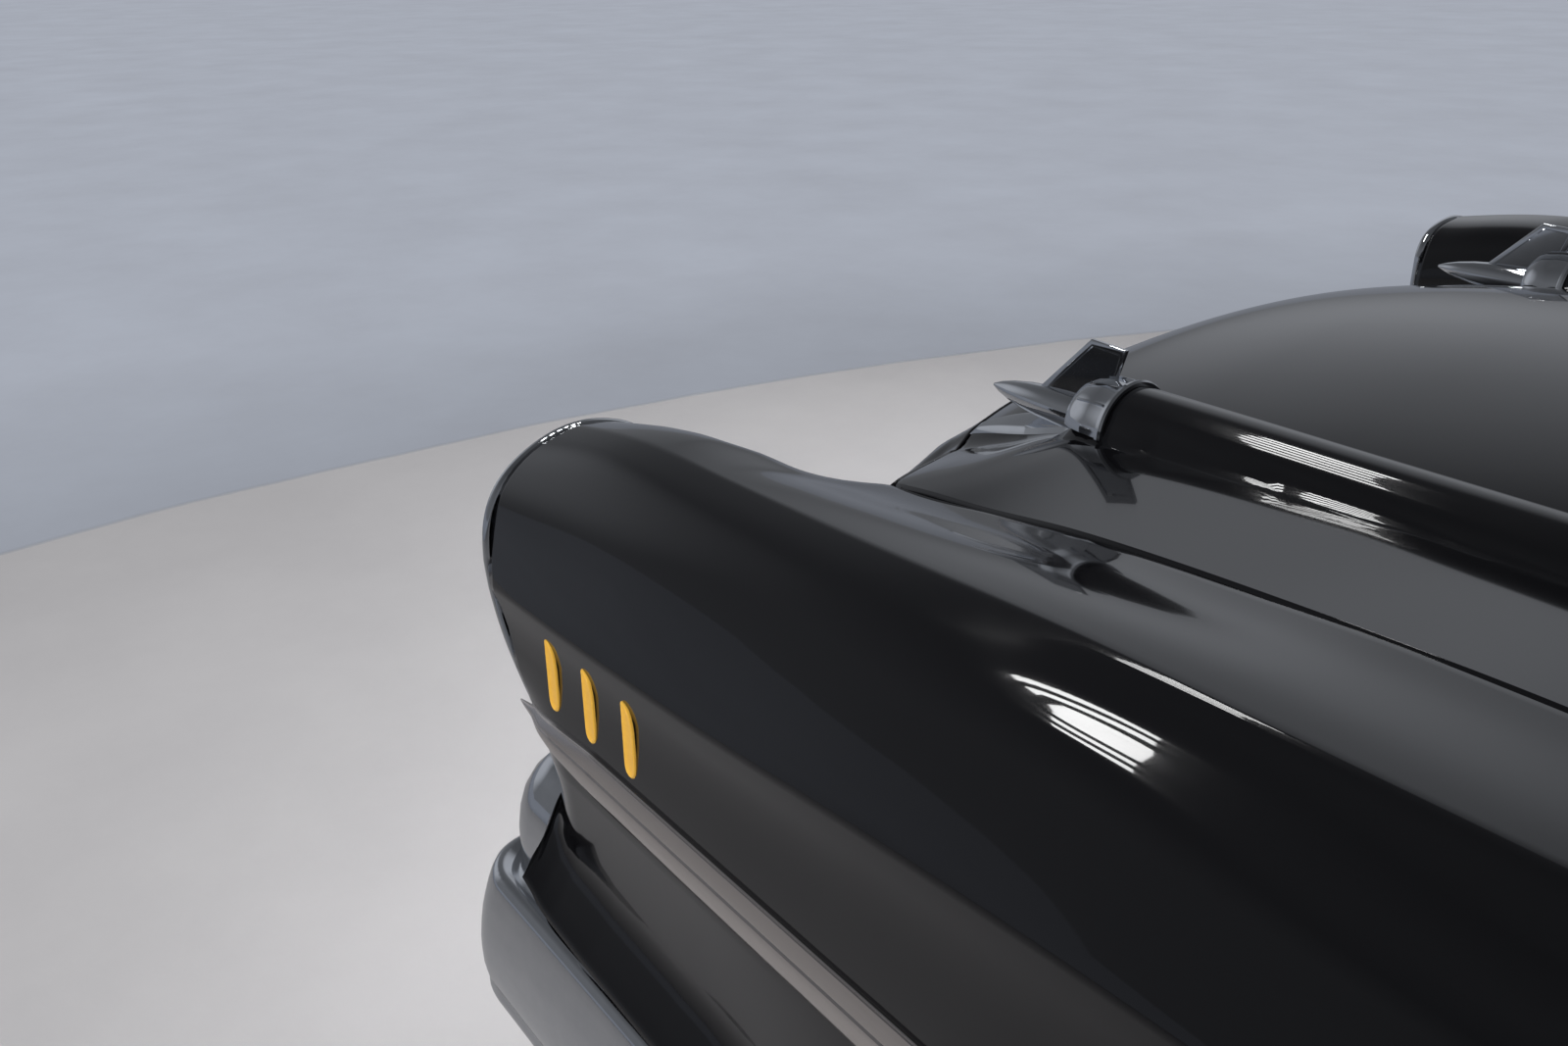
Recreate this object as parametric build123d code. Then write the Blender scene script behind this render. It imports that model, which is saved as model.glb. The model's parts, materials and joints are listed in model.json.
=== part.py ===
from build123d import *
from math import hypot
import os

# Front end of a large 1950s car, as it comes off at the cowl: hood, both front
# fenders, lamps, grille, bumper and the panels and carriers behind them.
# All sizes are millimetres. X points forward from the cowl joint, Y to the car's
# left and Z up. Heights in this file are above the road; each piece is lowered
# by MOUNT_HEIGHT when written, so that the origin is the cowl bolts' centre.

# Driving dimensions
LAMP_Y, LAMP_Z, LAMP_R = 797.0, 824.0, 89.0
SIDE_Y = LAMP_Y + LAMP_R + 20.0   # flat of the fender's side from the centre plane
SKIN = 4.0                  # fender skin with its folded edges
HOOD_THICK = 6.0            # hood skin with its turned edge
BRACE_THICK = 10.0          # pressed frame under the hood
HEADER_THICK = 5.0
SEAM_GAP = 6.0              # hood to fender, and hood to header
SEAT = 0.3                  # clearance between pieces that are fastened together
FLANGE_DROP = 45.0          # depth of the fender's gutter beside the hood
WALL_THICK, WALL_LOW = 4.0, 560.0   # inner fender sheet and its lower edge

AXLE_X, ARCH_Z, ARCH_R = 545.0, 300.0, 350.0
WHEELHOUSE_R, WHEELHOUSE_CUT = 395.0, 120.0

BUCKET_WALL, BUCKET_HOLE_GAP, BUCKET_FLANGE = 3.0, 1.0, 3.5
NOSE_X, BEZEL_X, BEZEL_DEPTH = 1300.0, 1345.0, 14.0

LOUVRE_X, LOUVRE_PITCH, LOUVRE_COUNT = 1233.0, 71.0, 3
LOUVRE_Z, LOUVRE_TALL, LOUVRE_WIDE, LOUVRE_THICK = 758.0, 76.0, 24.0, 5.0

MOULDING_TOP, MOULDING_TALL, MOULDING_THICK = 718.0, 50.0, 9.0
MOULDING_START, MOULDING_TIP, MOULDING_POINT = 8.0, 1324.0, 46.0

HINGE_INSET, PIVOT_X, PIVOT_DROP = 60.0, -40.0, 25.0
PIVOT_R, PIVOT_CLEARANCE, HINGE_PLATE = 6.0, 0.05, 6.0

ORNAMENT_Y, ORNAMENT_Z = 410.0, 964.0
BULLET_R, BULLET_TIP, BULLET_REAR = 18.0, 1166.0, 1030.0
COLLAR_FRONT, COLLAR_REAR, COLLAR_R = 1036.0, 982.0, 46.0
FIN_THICK, PLATE_TIP = 4.0, 1197.0

GRILLE_X, GRILLE_THICK = 1268.0, 12.0
GRILLE_LOW, GRILLE_HIGH = 606.0, 794.0
SURROUND_WIDE, SURROUND_DEPTH, SURROUND_X = 16.0, 30.0, 1262.0
GRILLE_COLUMNS, GRILLE_ROWS, GRILLE_BAR = 20, 5, 7.0

BUMPER_Y, BUMPER_X, BUMPER_CROWN, BUMPER_BEND = SIDE_Y + 20.0, 1440.0, 22.0, 120.0
CROWN_BEND = 9000.0         # gentle bend at the middle of both bars
BUMPER_LOW, BUMPER_HIGH, BUMPER_END, BUMPER_DEPTH = 286.0, 484.0, 960.0, 12.0
UPPER_Y, UPPER_X, UPPER_END, UPPER_BEND = SIDE_Y - 30.0, 1400.0, 1346.0, 50.0
UPPER_LOW, UPPER_HIGH, UPPER_DEPTH = 545.0, 646.0, 10.0
CHANNEL_THICK = 4.0         # pressed steel of both bumper bars
GUARD_Y, GUARD_WIDE, GUARD_LOW, GUARD_LONG = 420.0, 90.0, 320.0, 40.0
PARKING_Y, PARKING_R, PARKING_LONG = 700.0, 38.0, 16.0
STONE_THICK, STONE_HALF = 3.0, UPPER_Y - 36.0

CORE_X, CORE_HALF, CORE_LOW, CORE_HIGH, CORE_THICK = 1096.0, LAMP_Y - 185.0, 470.0, 858.0, 6.0
SHELF_HALF, SHELF_BACK, SHELF_FRONT = CORE_HALF - 27.0, 26.0, 30.0
RADIATOR_HALF, RADIATOR_LOW, RADIATOR_HIGH = 330.0, 505.0, 842.0
RADIATOR_THICK, RADIATOR_WINDOW = 58.0, 24.0
NECK_R, NECK_LONG, NECK_UPPER_Y, NECK_LOWER_Y, NECK_INSET = 19.0, 34.0, 180.0, -200.0, 30.0
LATCH_LONG, LATCH_WIDE, LATCH_TALL, LATCH_HOLE_R = 36.0, 60.0, 22.0, 12.0
STRIKER_X, STRIKER_R, STRIKER_LOW = 1100.0, 6.0, 868.0
HORN_Y, HORN_Z, HORN_R, HORN_LONG, HORN_BODY_R = 470.0, 650.0, 52.0, 110.0, 38.0

COWL_BOLT_Y, COWL_BOLT_LOW, COWL_BOLT_HIGH, COWL_BOLT_R = SIDE_Y - 56.0, 480.0, 860.0, 5.5
CORE_BOLT_Y, CORE_BOLT_R = 480.0, 6.5
BRACKET_Y, BRACKET_WIDE, BRACKET_TALL, BRACKET_RISER = 400.0, 60.0, 50.0, 40.0
BRACKET_BOLT_X, BRACKET_BOLT_PITCH, BRACKET_BOLT_R = 1150.0, 80.0, 6.5
STRUT_THICK = 10.0
MOUNT_HEIGHT = (COWL_BOLT_LOW + COWL_BOLT_HIGH) / 2
CLEAR_HEIGHT = 2 * MOUNT_HEIGHT  # above every piece, for cutting prisms

# Seam between hood and fender. Columns: x, y from the lamp's centre, height
SEAM = (
    (0, LAMP_Y - 137, 1000),
    (180, LAMP_Y - 144, 998),
    (545, LAMP_Y - 160, 990),
    (925, LAMP_Y - 184, 947),
    (1103, LAMP_Y - 197, 917),
)

# Fender beside the hood. Columns: x, rise of the top between seam and crest, then (y from
# the lamp's centre, height) of crest, hollow, shoulder, crease, belt, waist, flare and hem.
FLANK = (
    (0, 0, (4, 1006), (33, 966), (68, 956), (109, 884),
     (109, 655), (113, 560), (115, 420), (113, 238)),
    (180, 1, (4, 1004), (33, 964), (68, 956), (109, 880),
     (109, 655), (112, 560), (115, 420), (113, 238)),
    (545, 2, (4, 1001), (35, 962), (68, 955), (109, 867),
     (109, 655), (111, 600), (115, 540), (115, 480)),
    (925, 3, (1, 986), (41, 966), (73, 943), (109, 835),
     (109, 655), (105, 600), (138, 506), (133, 490)),
    (1103, 8, (0, 980), (45, 962), (77, 930), (109, 822),
     (109, 655), (104, 600), (139, 506), (134, 490)),
)

# Fender ahead of the hood, where its top is a lamp pod. Columns: x, then (y, z) from the
# lamp's centre of the inner wall's foot, its top, the slope, then crest to hem as in FLANK.
POD = (
    (1200, (-103, -104), (-101, 71), (-69, 136), (-1, 149), (46, 133), (81, 96),
     (109, -9), (109, -169), (103, -224), (138, -318), (133, -334)),
    (1280, (-103, -124), (-101, 68), (-63, 128), (-1, 142), (46, 127), (83, 88),
     (109, -14), (109, -169), (100, -224), (135, -316), (130, -332)),
    (1306, (-102, -128), (-100, 66), (-60, 125), (-1, 137), (44, 124), (83, 86),
     (109, -17), (109, -162), (102, -184), (89, -192), (75, -196)),
    (BEZEL_X, (-97, -132), (-95, 64), (-55, 119), (-1, 129), (39, 116), (80, 84),
     (108, -21), (107, -104), (100, -134), (85, -150), (67, -160)),
)

# Nose surface that hood and header share. Columns: x, then the height at each of
# NOSE_Y: crown, quarter, ridge foot, ridge inner, ridge, ridge outer, foot, inner and outer
# valley, edge, pod wall
NOSE_Y = (0, 200, 365, 385, 410, 440, 465, 515, 560, LAMP_Y - 197, LAMP_Y - 105)
NOSE = (
    (SEAM_GAP / 2, (1062, 1049, 1018, 1017, 1014, 1008, 998, 995, 996, 998, 1003)),
    (500, (1050, 1037, 1006, 1009, 1010, 1000, 974, 978, 983, 987, 996)),
    (985, (1017, 1004, 973, 992, 1007, 994, 960, 952, 944, 938, 923)),
    (1035, (1009, 996, 965, 961, 957, 954, 951, 943, 937, 931, 915)),
    (1103, (994, 981, 950, 945, 939, 932, 929, 924, 921, 917, 870)),
    (1130, (987, 974, 943, 938, 932, 926, 922, 918, 908, 893, 855)),
    (1160, (975, 962, 932, 927, 920, 917, 916, 898, 878, 860, 838)),
    (1210, (953, 944, 914, 905, 893, 884, 874, 854, 834, 825, 816)),
    (1250, (925, 912, 878, 870, 863, 850, 838, 822, 814, 812, 810)),
    (1285, (870, 860, 835, 831, 826, 816, 811, 809, 808, 808, 808)),
    (NOSE_X, (806, 806, 806, 806, 806, 806, 806, 806, 806, 806, 806)),
)
HOOD_NOSE_X, HOOD_CORNER_X = 1268.0, SEAM[-1][0]
HINGE_Y = SEAM[0][1] - HINGE_INSET
PIVOT_Z = SEAM[0][2] - PIVOT_DROP


def face_at(x, points):
    """Flat face in the plane across the car at x, from (y, z) points."""
    return Plane.YZ.offset(x) * make_face(Polyline(*points, close=True))


def side_plate(points, y_from, thick):
    """Plate along the car from (x, z) points, thick towards the left."""
    plane = Plane(origin=(0, y_from + thick, 0), x_dir=(1, 0, 0), z_dir=(0, -1, 0))
    return extrude(plane * make_face(Polyline(*points, close=True)), thick)


def box(x, y, z):
    """Box from (low, high) pairs."""
    size = [high - low for low, high in (x, y, z)]
    centre = [(high + low) / 2 for low, high in (x, y, z)]
    return Pos(*centre) * Box(*size)


def round_bar(start, radius, long, axis):
    """Cylinder that starts at a point and runs along an axis."""
    return extrude(Plane(start, z_dir=axis) * Circle(radius), long)


def seam_at(x):
    """y and height of the hood's seam, straight between the table's rows."""
    for (x0, y0, z0), (x1, y1, z1) in zip(SEAM, SEAM[1:]):
        if x <= x1:
            share = (x - x0) / (x1 - x0)
            return y0 + share * (y1 - y0), z0 + share * (z1 - z0)
    return SEAM[-1][1], SEAM[-1][2]


def fender_rows():
    """Outlines of the fender across the car: x, then (y, height) from gutter to hem."""
    rows = []
    for x, rise, *points in FLANK:
        points = [(LAMP_Y + y, z) for y, z in points]
        (y, z), (crest_y, crest_z) = seam_at(x), points[0]
        slope = ((y + crest_y) / 2, (z + crest_z) / 2 + rise)
        rows.append((x, (y, z - FLANGE_DROP), (y, z), slope, *points))
    for x, *points in POD:
        rows.append((x, *[(LAMP_Y + y, LAMP_Z + z) for y, z in points]))
    return rows


def inside(points, distance):
    """Open outline moved to its right by a distance, with mitred corners."""
    moved = []
    for i, (y, z) in enumerate(points):
        before = points[max(i - 1, 0)]
        after = points[min(i + 1, len(points) - 1)]
        normals = []
        for (a, b), (c, d) in ((before, (y, z)), ((y, z), after)):
            length = hypot(c - a, d - b)
            if length > 0:
                normals.append(((d - b) / length, (a - c) / length))
        ny = sum(n[0] for n in normals) / len(normals)
        nz = sum(n[1] for n in normals) / len(normals)
        scale = distance / (ny * ny + nz * nz)
        moved.append((y + ny * scale, z + nz * scale))
    return moved


FENDER = fender_rows()
NOSE_ROW = FENDER[-2]        # where the pod's skin is closed by a wall round the lamp
GRILLE_HALF = FENDER[5][1][0]    # between the inner walls of the two pods


def fender():
    sections = []
    for x, *points in FENDER:
        sections.append(face_at(x, points + inside(points, SKIN)[::-1]))
    skin = loft(sections, ruled=True)
    arch = round_bar((AXLE_X, SIDE_Y - 80, ARCH_Z), ARCH_R, 200, (0, 1, 0))
    nose_outline = inside(NOSE_ROW[1:], SKIN / 2)
    nose = extrude(face_at(NOSE_ROW[0] - SKIN, nose_outline), SKIN)
    nose -= round_bar((NOSE_X - 40, LAMP_Y, LAMP_Z), LAMP_R + BUCKET_WALL + BUCKET_HOLE_GAP,
                      80, (1, 0, 0))
    rear = box((0, SKIN), (COWL_BOLT_Y - 28, SIDE_Y - SKIN / 2),
               (COWL_BOLT_LOW - 220, COWL_BOLT_HIGH + 20))
    for z in (COWL_BOLT_LOW, COWL_BOLT_HIGH):
        rear -= round_bar((-10, COWL_BOLT_Y, z), COWL_BOLT_R, 40, (1, 0, 0))
    return skin + nose + rear - arch


def inner_fender():
    """Wall under the gutter with the wheelhouse roof."""
    sections = []
    for x, y, z in ((20, *seam_at(20)), *SEAM[1:-1], (CORE_X - SEAT, *seam_at(CORE_X))):
        low, high = WALL_LOW, z - FLANGE_DROP / 2
        y += SKIN + SEAT
        sections.append(face_at(x, ((y, low), (y + WALL_THICK, low),
                                    (y + WALL_THICK, high), (y, high))))
    wall = loft(sections, ruled=True)
    outer, inner = WHEELHOUSE_R + WALL_THICK, WHEELHOUSE_R
    y_from, y_to = seam_at(AXLE_X)[0] - 14, SIDE_Y - SKIN - 10
    roof = round_bar((AXLE_X, y_from, ARCH_Z), outer, y_to - y_from, (0, 1, 0))
    roof -= round_bar((AXLE_X, y_from - 1, ARCH_Z), inner, y_to - y_from + 2, (0, 1, 0))
    roof &= box((0, AXLE_X + outer + 1), (seam_at(AXLE_X)[0] + SKIN + SEAT, y_to),
                (ARCH_Z + WHEELHOUSE_CUT, CLEAR_HEIGHT))
    return wall + roof


def lamp_turn(points):
    """Solid turned round the lamp's axis from (x, radius) points."""
    outline = Polyline(*[(x, LAMP_Y + r, LAMP_Z) for x, r in points], close=True)
    return revolve(make_face(outline), Axis((0, LAMP_Y, LAMP_Z), (1, 0, 0)))


def headlamp_bucket():
    """Pressed cup behind the lamp, with a flange that seats on the fender's nose."""
    flange, rim = NOSE_ROW[0] + SEAT, LAMP_R + BUCKET_WALL
    return lamp_turn(((1205, 0), (1205 + BUCKET_WALL, 0), (1221, 58), (flange + 12, LAMP_R),
                      (flange + 12, rim), (flange + BUCKET_WALL, rim),
                      (flange + BUCKET_WALL, rim + BUCKET_FLANGE),
                      (flange, rim + BUCKET_FLANGE), (flange, rim), (1217, 61), (1205, 6)))


def headlamp_lens():
    back = NOSE_ROW[0] + 12 + 2 * SEAT
    return lamp_turn(((back, 0), (back, LAMP_R), (back + 8, LAMP_R), (back + 20, 78),
                      (back + 29, 50), (back + 33, 0)))


def headlamp_bezel():
    outline = inside(FENDER[-1][1:], 0.5)
    plate = extrude(face_at(BEZEL_X + SEAT, outline), BEZEL_DEPTH)
    return plate - round_bar((BEZEL_X - 1, LAMP_Y, LAMP_Z), LAMP_R + BUCKET_WALL, 40, (1, 0, 0))


def fender_louvres():
    blades = []
    for i in range(LOUVRE_COUNT):
        plane = Plane((LOUVRE_X - i * LOUVRE_PITCH, SIDE_Y + SEAT, LOUVRE_Z),
                      x_dir=(0, 0, 1), z_dir=(0, 1, 0))
        outline = SlotOverall(LOUVRE_TALL, LOUVRE_WIDE)
        blades.append(extrude(plane * outline, LOUVRE_THICK))
    return Compound(children=blades)


def side_moulding():
    low, middle = MOULDING_TOP - MOULDING_TALL, MOULDING_TOP - MOULDING_TALL / 2
    bar = side_plate(((MOULDING_START, low), (MOULDING_TIP - MOULDING_POINT, low + 8),
                      (MOULDING_TIP, middle), (MOULDING_TIP - MOULDING_POINT, MOULDING_TOP),
                      (MOULDING_START, MOULDING_TOP)), SIDE_Y + SEAT, MOULDING_THICK)
    groove = box((0, MOULDING_TIP - MOULDING_POINT), (SIDE_Y + MOULDING_THICK - 2, SIDE_Y + 2 * MOULDING_THICK),
                 (middle - 4, middle + 6))
    return bar - groove


def nose_loft(drop, thick):
    """Hood and header surface, lowered by drop and given a thickness."""
    sections = []
    for x, heights in NOSE:
        left = list(zip(NOSE_Y, heights))
        top = [(-y, z) for y, z in left[:0:-1]] + left
        top = [(y, z - drop) for y, z in top]
        sections.append(face_at(x, top + [(y, z - thick) for y, z in top[::-1]]))
    return loft(sections, ruled=True)


def hood_plan(inset):
    """Tall prism over the hood's outline, drawn in by inset."""
    start = NOSE[0][0] + inset
    corner = HOOD_CORNER_X - inset
    edge = [(start, seam_at(start)[0]), *[(x, y) for x, y, z in SEAM[1:-1]],
            (corner, seam_at(corner)[0])]
    edge = [(x, y - SEAM_GAP - inset) for x, y in edge]
    left = Polyline(*edge)
    right = Polyline(*[(x, -y) for x, y in edge])
    front = ThreePointArc(edge[-1], (HOOD_NOSE_X - inset, 0), (corner, -edge[-1][1]))
    rear = Line(edge[0], (start, -edge[0][1]))
    return extrude(make_face(Wire([*left.edges(), *right.edges(), front, rear])), CLEAR_HEIGHT)


def hood():
    return nose_loft(0, HOOD_THICK) & hood_plan(0)


def brace_windows():
    """Openings of the pressed frame: a row of four each side of the middle rail."""
    windows = []
    for x0, x1, wide in ((110, 330, 500), (390, 610, 490), (670, 880, 470), (940, 1060, 440)):
        for side in (1, -1):
            low, high = sorted((side * 40, side * wide))
            windows.append(box((x0, x1), (low, high), (CORE_LOW, CLEAR_HEIGHT)))
    return windows


def hood_bracing():
    frame = nose_loft(HOOD_THICK + SEAT, BRACE_THICK) & hood_plan(30)
    for window in brace_windows():
        frame -= window
    return frame


def hood_ornament():
    tip = round_bar((BULLET_REAR, ORNAMENT_Y, ORNAMENT_Z), BULLET_R, 60, (1, 0, 0))
    cone = Plane((BULLET_REAR + 60, ORNAMENT_Y, ORNAMENT_Z), z_dir=(1, 0, 0)) * Circle(BULLET_R)
    point = Plane((BULLET_TIP, ORNAMENT_Y, ORNAMENT_Z), z_dir=(1, 0, 0)) * Circle(2)
    bullet = tip + loft([cone, point], ruled=True)
    fin = side_plate(((COLLAR_REAR + 11, 990), (COLLAR_REAR + 11, 1039), (1037, 1041),
                      (1115, 950), (1060, 940)), ORNAMENT_Y - FIN_THICK / 2, FIN_THICK)
    plate = side_plate(((PLATE_TIP, 899), (PLATE_TIP, 910), (1040, 966), (1030, 940)),
                       ORNAMENT_Y - 14, 28)
    collar = round_bar((COLLAR_REAR, ORNAMENT_Y, ORNAMENT_Z), COLLAR_R,
                       COLLAR_FRONT - COLLAR_REAR, (1, 0, 0))
    shape = bullet + fin + plate + collar
    return shape - nose_loft(-SEAT, 200)


def hinge_bracket():
    """Upright plate that reaches back over the cowl's channel, with foot and pin."""
    low = 850
    plate = side_plate(((40, low), (150, low), (150, low + 40), (70, low + 65),
                        (PIVOT_X + 18, PIVOT_Z + 10), (PIVOT_X, PIVOT_Z + 16),
                        (PIVOT_X - 16, PIVOT_Z + 8), (PIVOT_X - 18, PIVOT_Z - 8),
                        (PIVOT_X - 5, PIVOT_Z - 18), (10, low + 50)), HINGE_Y, HINGE_PLATE)
    foot = [(x, y) for x, y in ((40, HINGE_Y), (150, HINGE_Y),
                                (150, seam_at(150)[0] + SKIN), (40, seam_at(40)[0] + SKIN))]
    foot = extrude(Plane.XY.offset(low) * make_face(Polyline(*foot, close=True)), HINGE_PLATE)
    pin = round_bar((PIVOT_X, HINGE_Y, PIVOT_Z), PIVOT_R, 3 * HINGE_PLATE + 4, (0, 1, 0))
    return plate + foot + pin


def hinge_arm():
    """Gooseneck under the hood's frame, bored for the pivot pin."""
    near = HINGE_Y + HINGE_PLATE + 5
    arm = side_plate(((PIVOT_X - 14, PIVOT_Z - 9), (PIVOT_X, PIVOT_Z - 15), (10, PIVOT_Z - 37),
                      (60, PIVOT_Z - 45), (270, PIVOT_Z - 35), (270, PIVOT_Z + 15),
                      (0, PIVOT_Z + 15), (PIVOT_X, PIVOT_Z + 15),
                      (PIVOT_X - 14, PIVOT_Z + 9)), near, HINGE_PLATE)
    arm -= nose_loft(-100, 100 + HOOD_THICK + BRACE_THICK + 2 * SEAT)
    arm -= box((-20, NOSE[0][0] + 30), (0, SIDE_Y), (PIVOT_Z + 5, CLEAR_HEIGHT))
    bore = round_bar((PIVOT_X, HINGE_Y, PIVOT_Z), PIVOT_R + PIVOT_CLEARANCE, 60, (0, 1, 0))
    return arm - bore


def header():
    """Panel in front of the hood, between the lamp pods."""
    corner = HOOD_CORNER_X + SEAM_GAP
    (x0, (y0, _)), (x1, (y1, _)) = ((row[0], row[1]) for row in FENDER[4:6])
    wall = y0 + (corner - x0) / (x1 - x0) * (y1 - y0)
    edge = [(corner, seam_at(corner)[0] - SEAM_GAP), (corner, wall - 1), (x1, y1 - 1.5),
            (NOSE_X - 4, y1 - SEAT)]
    left = Polyline(*edge)
    right = Polyline(*[(x, -y) for x, y in edge])
    back = ThreePointArc(edge[0], (HOOD_NOSE_X + SEAM_GAP, 0), (edge[0][0], -edge[0][1]))
    front = Line(edge[-1], (edge[-1][0], -edge[-1][1]))
    plan = make_face(Wire([*left.edges(), *right.edges(), back, front]))
    return nose_loft(0, HEADER_THICK) & extrude(plan, CLEAR_HEIGHT)


def grille_surround():
    half = GRILLE_HALF - 2 * SEAT
    low, high = GRILLE_LOW - SURROUND_WIDE, GRILLE_HIGH + SURROUND_WIDE / 2
    plane = Plane((SURROUND_X, 0, (low + high) / 2), x_dir=(0, 1, 0), z_dir=(1, 0, 0))
    outer = plane * RectangleRounded(2 * half, high - low, 30)
    inner = plane * RectangleRounded(2 * (half - SURROUND_WIDE), high - low - 2 * SURROUND_WIDE,
                                     30 - SURROUND_WIDE)
    return extrude(outer - inner, SURROUND_DEPTH)


def grille_mesh():
    """Egg-crate panel that fills the surround."""
    half = GRILLE_HALF - 3 * SEAT - SURROUND_WIDE
    low, high = GRILLE_LOW + SEAT, GRILLE_HIGH - SURROUND_WIDE / 2 - SEAT
    plane = Plane((GRILLE_X, 0, (low + high) / 2), x_dir=(0, 1, 0), z_dir=(1, 0, 0))
    panel = plane * RectangleRounded(2 * half, high - low, 30 - SURROUND_WIDE - SEAT)
    wide, tall = 2 * half / GRILLE_COLUMNS, (high - low) / GRILLE_ROWS
    cells = GridLocations(wide, tall, GRILLE_COLUMNS, GRILLE_ROWS)
    panel -= plane * cells * Rectangle(wide - GRILLE_BAR, tall - GRILLE_BAR)
    return extrude(panel, GRILLE_THICK)


def channel(half, depth):
    """Outline of a pressed bar from (outward, up) points, open at its back."""
    outer = [(-depth, half), (-2, half), (0.7 * depth, 0.75 * half), (depth, 0.3 * half)]
    outer += [(out, -up) for out, up in outer[::-1]]
    inner = [(-depth, half - CHANNEL_THICK), (-5, half - CHANNEL_THICK - 1),
             (0.7 * depth - CHANNEL_THICK, 0.72 * half),
             (depth - CHANNEL_THICK, 0.28 * half)]
    inner += [(out, -up) for out, up in inner[::-1]]
    return outer + inner[::-1]


def bent_bar(end, y, x, crown, bend, low, high, depth):
    """Bar swept round the front of the car from one end to the other."""
    middle = (low + high) / 2
    route = FilletPolyline((end, -y, middle), (x, -y, middle), (x + crown, 0, middle),
                           (x, y, middle), (end, y, middle), radius=[bend, CROWN_BEND, bend])
    plane = Plane((end, -y, middle), x_dir=(0, -1, 0), z_dir=(1, 0, 0))
    outline = plane * make_face(Polyline(*channel((high - low) / 2, depth), close=True))
    return sweep(outline, path=route)


def front_bumper():
    return bent_bar(BUMPER_END, BUMPER_Y, BUMPER_X, BUMPER_CROWN, BUMPER_BEND,
                    BUMPER_LOW, BUMPER_HIGH, BUMPER_DEPTH)


def upper_bar():
    return bent_bar(UPPER_END, UPPER_Y, UPPER_X, BUMPER_CROWN, UPPER_BEND,
                    UPPER_LOW, UPPER_HIGH, UPPER_DEPTH)


def front_at(y, x, half_width, depth):
    """Foremost x of a bent bar's face at y."""
    return x + BUMPER_CROWN * (1 - y / half_width) + depth


def bumper_guard():
    inner = GUARD_Y - GUARD_WIDE / 2
    low_face = front_at(inner, BUMPER_X, BUMPER_Y, BUMPER_DEPTH) + SEAT
    high_face = front_at(inner, UPPER_X, UPPER_Y, UPPER_DEPTH) + SEAT
    nose = low_face + GUARD_LONG
    return side_plate(((low_face, GUARD_LOW), (nose - 18, GUARD_LOW + 10), (nose, 400),
                       (nose, 500), (nose - 25, 600), (high_face + 28, UPPER_HIGH + 6),
                       (high_face, UPPER_HIGH + 6), (high_face, UPPER_LOW),
                       (low_face, BUMPER_HIGH)), inner, GUARD_WIDE)


def parking_lamp():
    face = front_at(PARKING_Y - PARKING_R, UPPER_X, UPPER_Y, UPPER_DEPTH) + SEAT
    middle = (UPPER_LOW + UPPER_HIGH) / 2
    base = round_bar((face, PARKING_Y, middle), PARKING_R, PARKING_LONG / 2, (1, 0, 0))
    rear = Plane((face + PARKING_LONG / 2, PARKING_Y, middle), z_dir=(1, 0, 0))
    tip = Plane((face + PARKING_LONG, PARKING_Y, middle), z_dir=(1, 0, 0))
    dome = loft([rear * Circle(PARKING_R), tip * Circle(PARKING_R * 0.7)], ruled=True)
    return base + dome


def bumper_bracket():
    middle = (BUMPER_LOW + BUMPER_HIGH) / 2
    outer = BRACKET_Y + BRACKET_WIDE / 2
    back = front_at(outer, BUMPER_X, BUMPER_Y, BUMPER_DEPTH) - CHANNEL_THICK - SEAT
    low, high = middle - BRACKET_TALL / 2, middle + BRACKET_TALL / 2
    front, across = CORE_X + CORE_THICK, (BRACKET_Y - BRACKET_WIDE / 2, outer)
    bar = box((front - BRACKET_RISER, back), across, (low, high))
    bar += box((front - BRACKET_RISER, front), across, (low, CORE_LOW - SEAT))
    for i in range(2):
        x = BRACKET_BOLT_X + i * BRACKET_BOLT_PITCH
        bar -= round_bar((x, BRACKET_Y, low - 5), BRACKET_BOLT_R, BRACKET_TALL + 10, (0, 0, 1))
    upper = front_at(BRACKET_Y + STRUT_THICK / 2, UPPER_X, UPPER_Y, UPPER_DEPTH)
    upper -= CHANNEL_THICK + SEAT
    centre, back_edge = (UPPER_LOW + UPPER_HIGH) / 2, upper - 2 * UPPER_DEPTH
    strut = side_plate(((back_edge - 28, high - 1), (back_edge, high - 1),
                        (back_edge, centre - 30), (upper, centre - 12),
                        (upper, centre + 12), (back_edge - 8, centre + 12)),
                       BRACKET_Y - STRUT_THICK / 2, STRUT_THICK)
    return bar + strut


def stone_guard():
    """Sheet that closes the space between the grille and the lower bumper."""
    top, low = GRILLE_LOW - SURROUND_WIDE - SEAT, BUMPER_HIGH + 16
    front = BUMPER_X - 16
    route = ((SURROUND_X + 4, top), (SURROUND_X + 38, top - 2), (front - 39, low + 25),
             (front, low))
    points = [*route, *[(x, z - STONE_THICK) for x, z in route[::-1]]]
    sheet = side_plate(points, -STONE_HALF, 2 * STONE_HALF)
    for side in (1, -1):
        middle = side * BRACKET_Y
        sheet -= box((front - 74, front + 6), (middle - STRUT_THICK, middle + STRUT_THICK),
                     (low - 20, top + 12))
    return sheet


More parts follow.
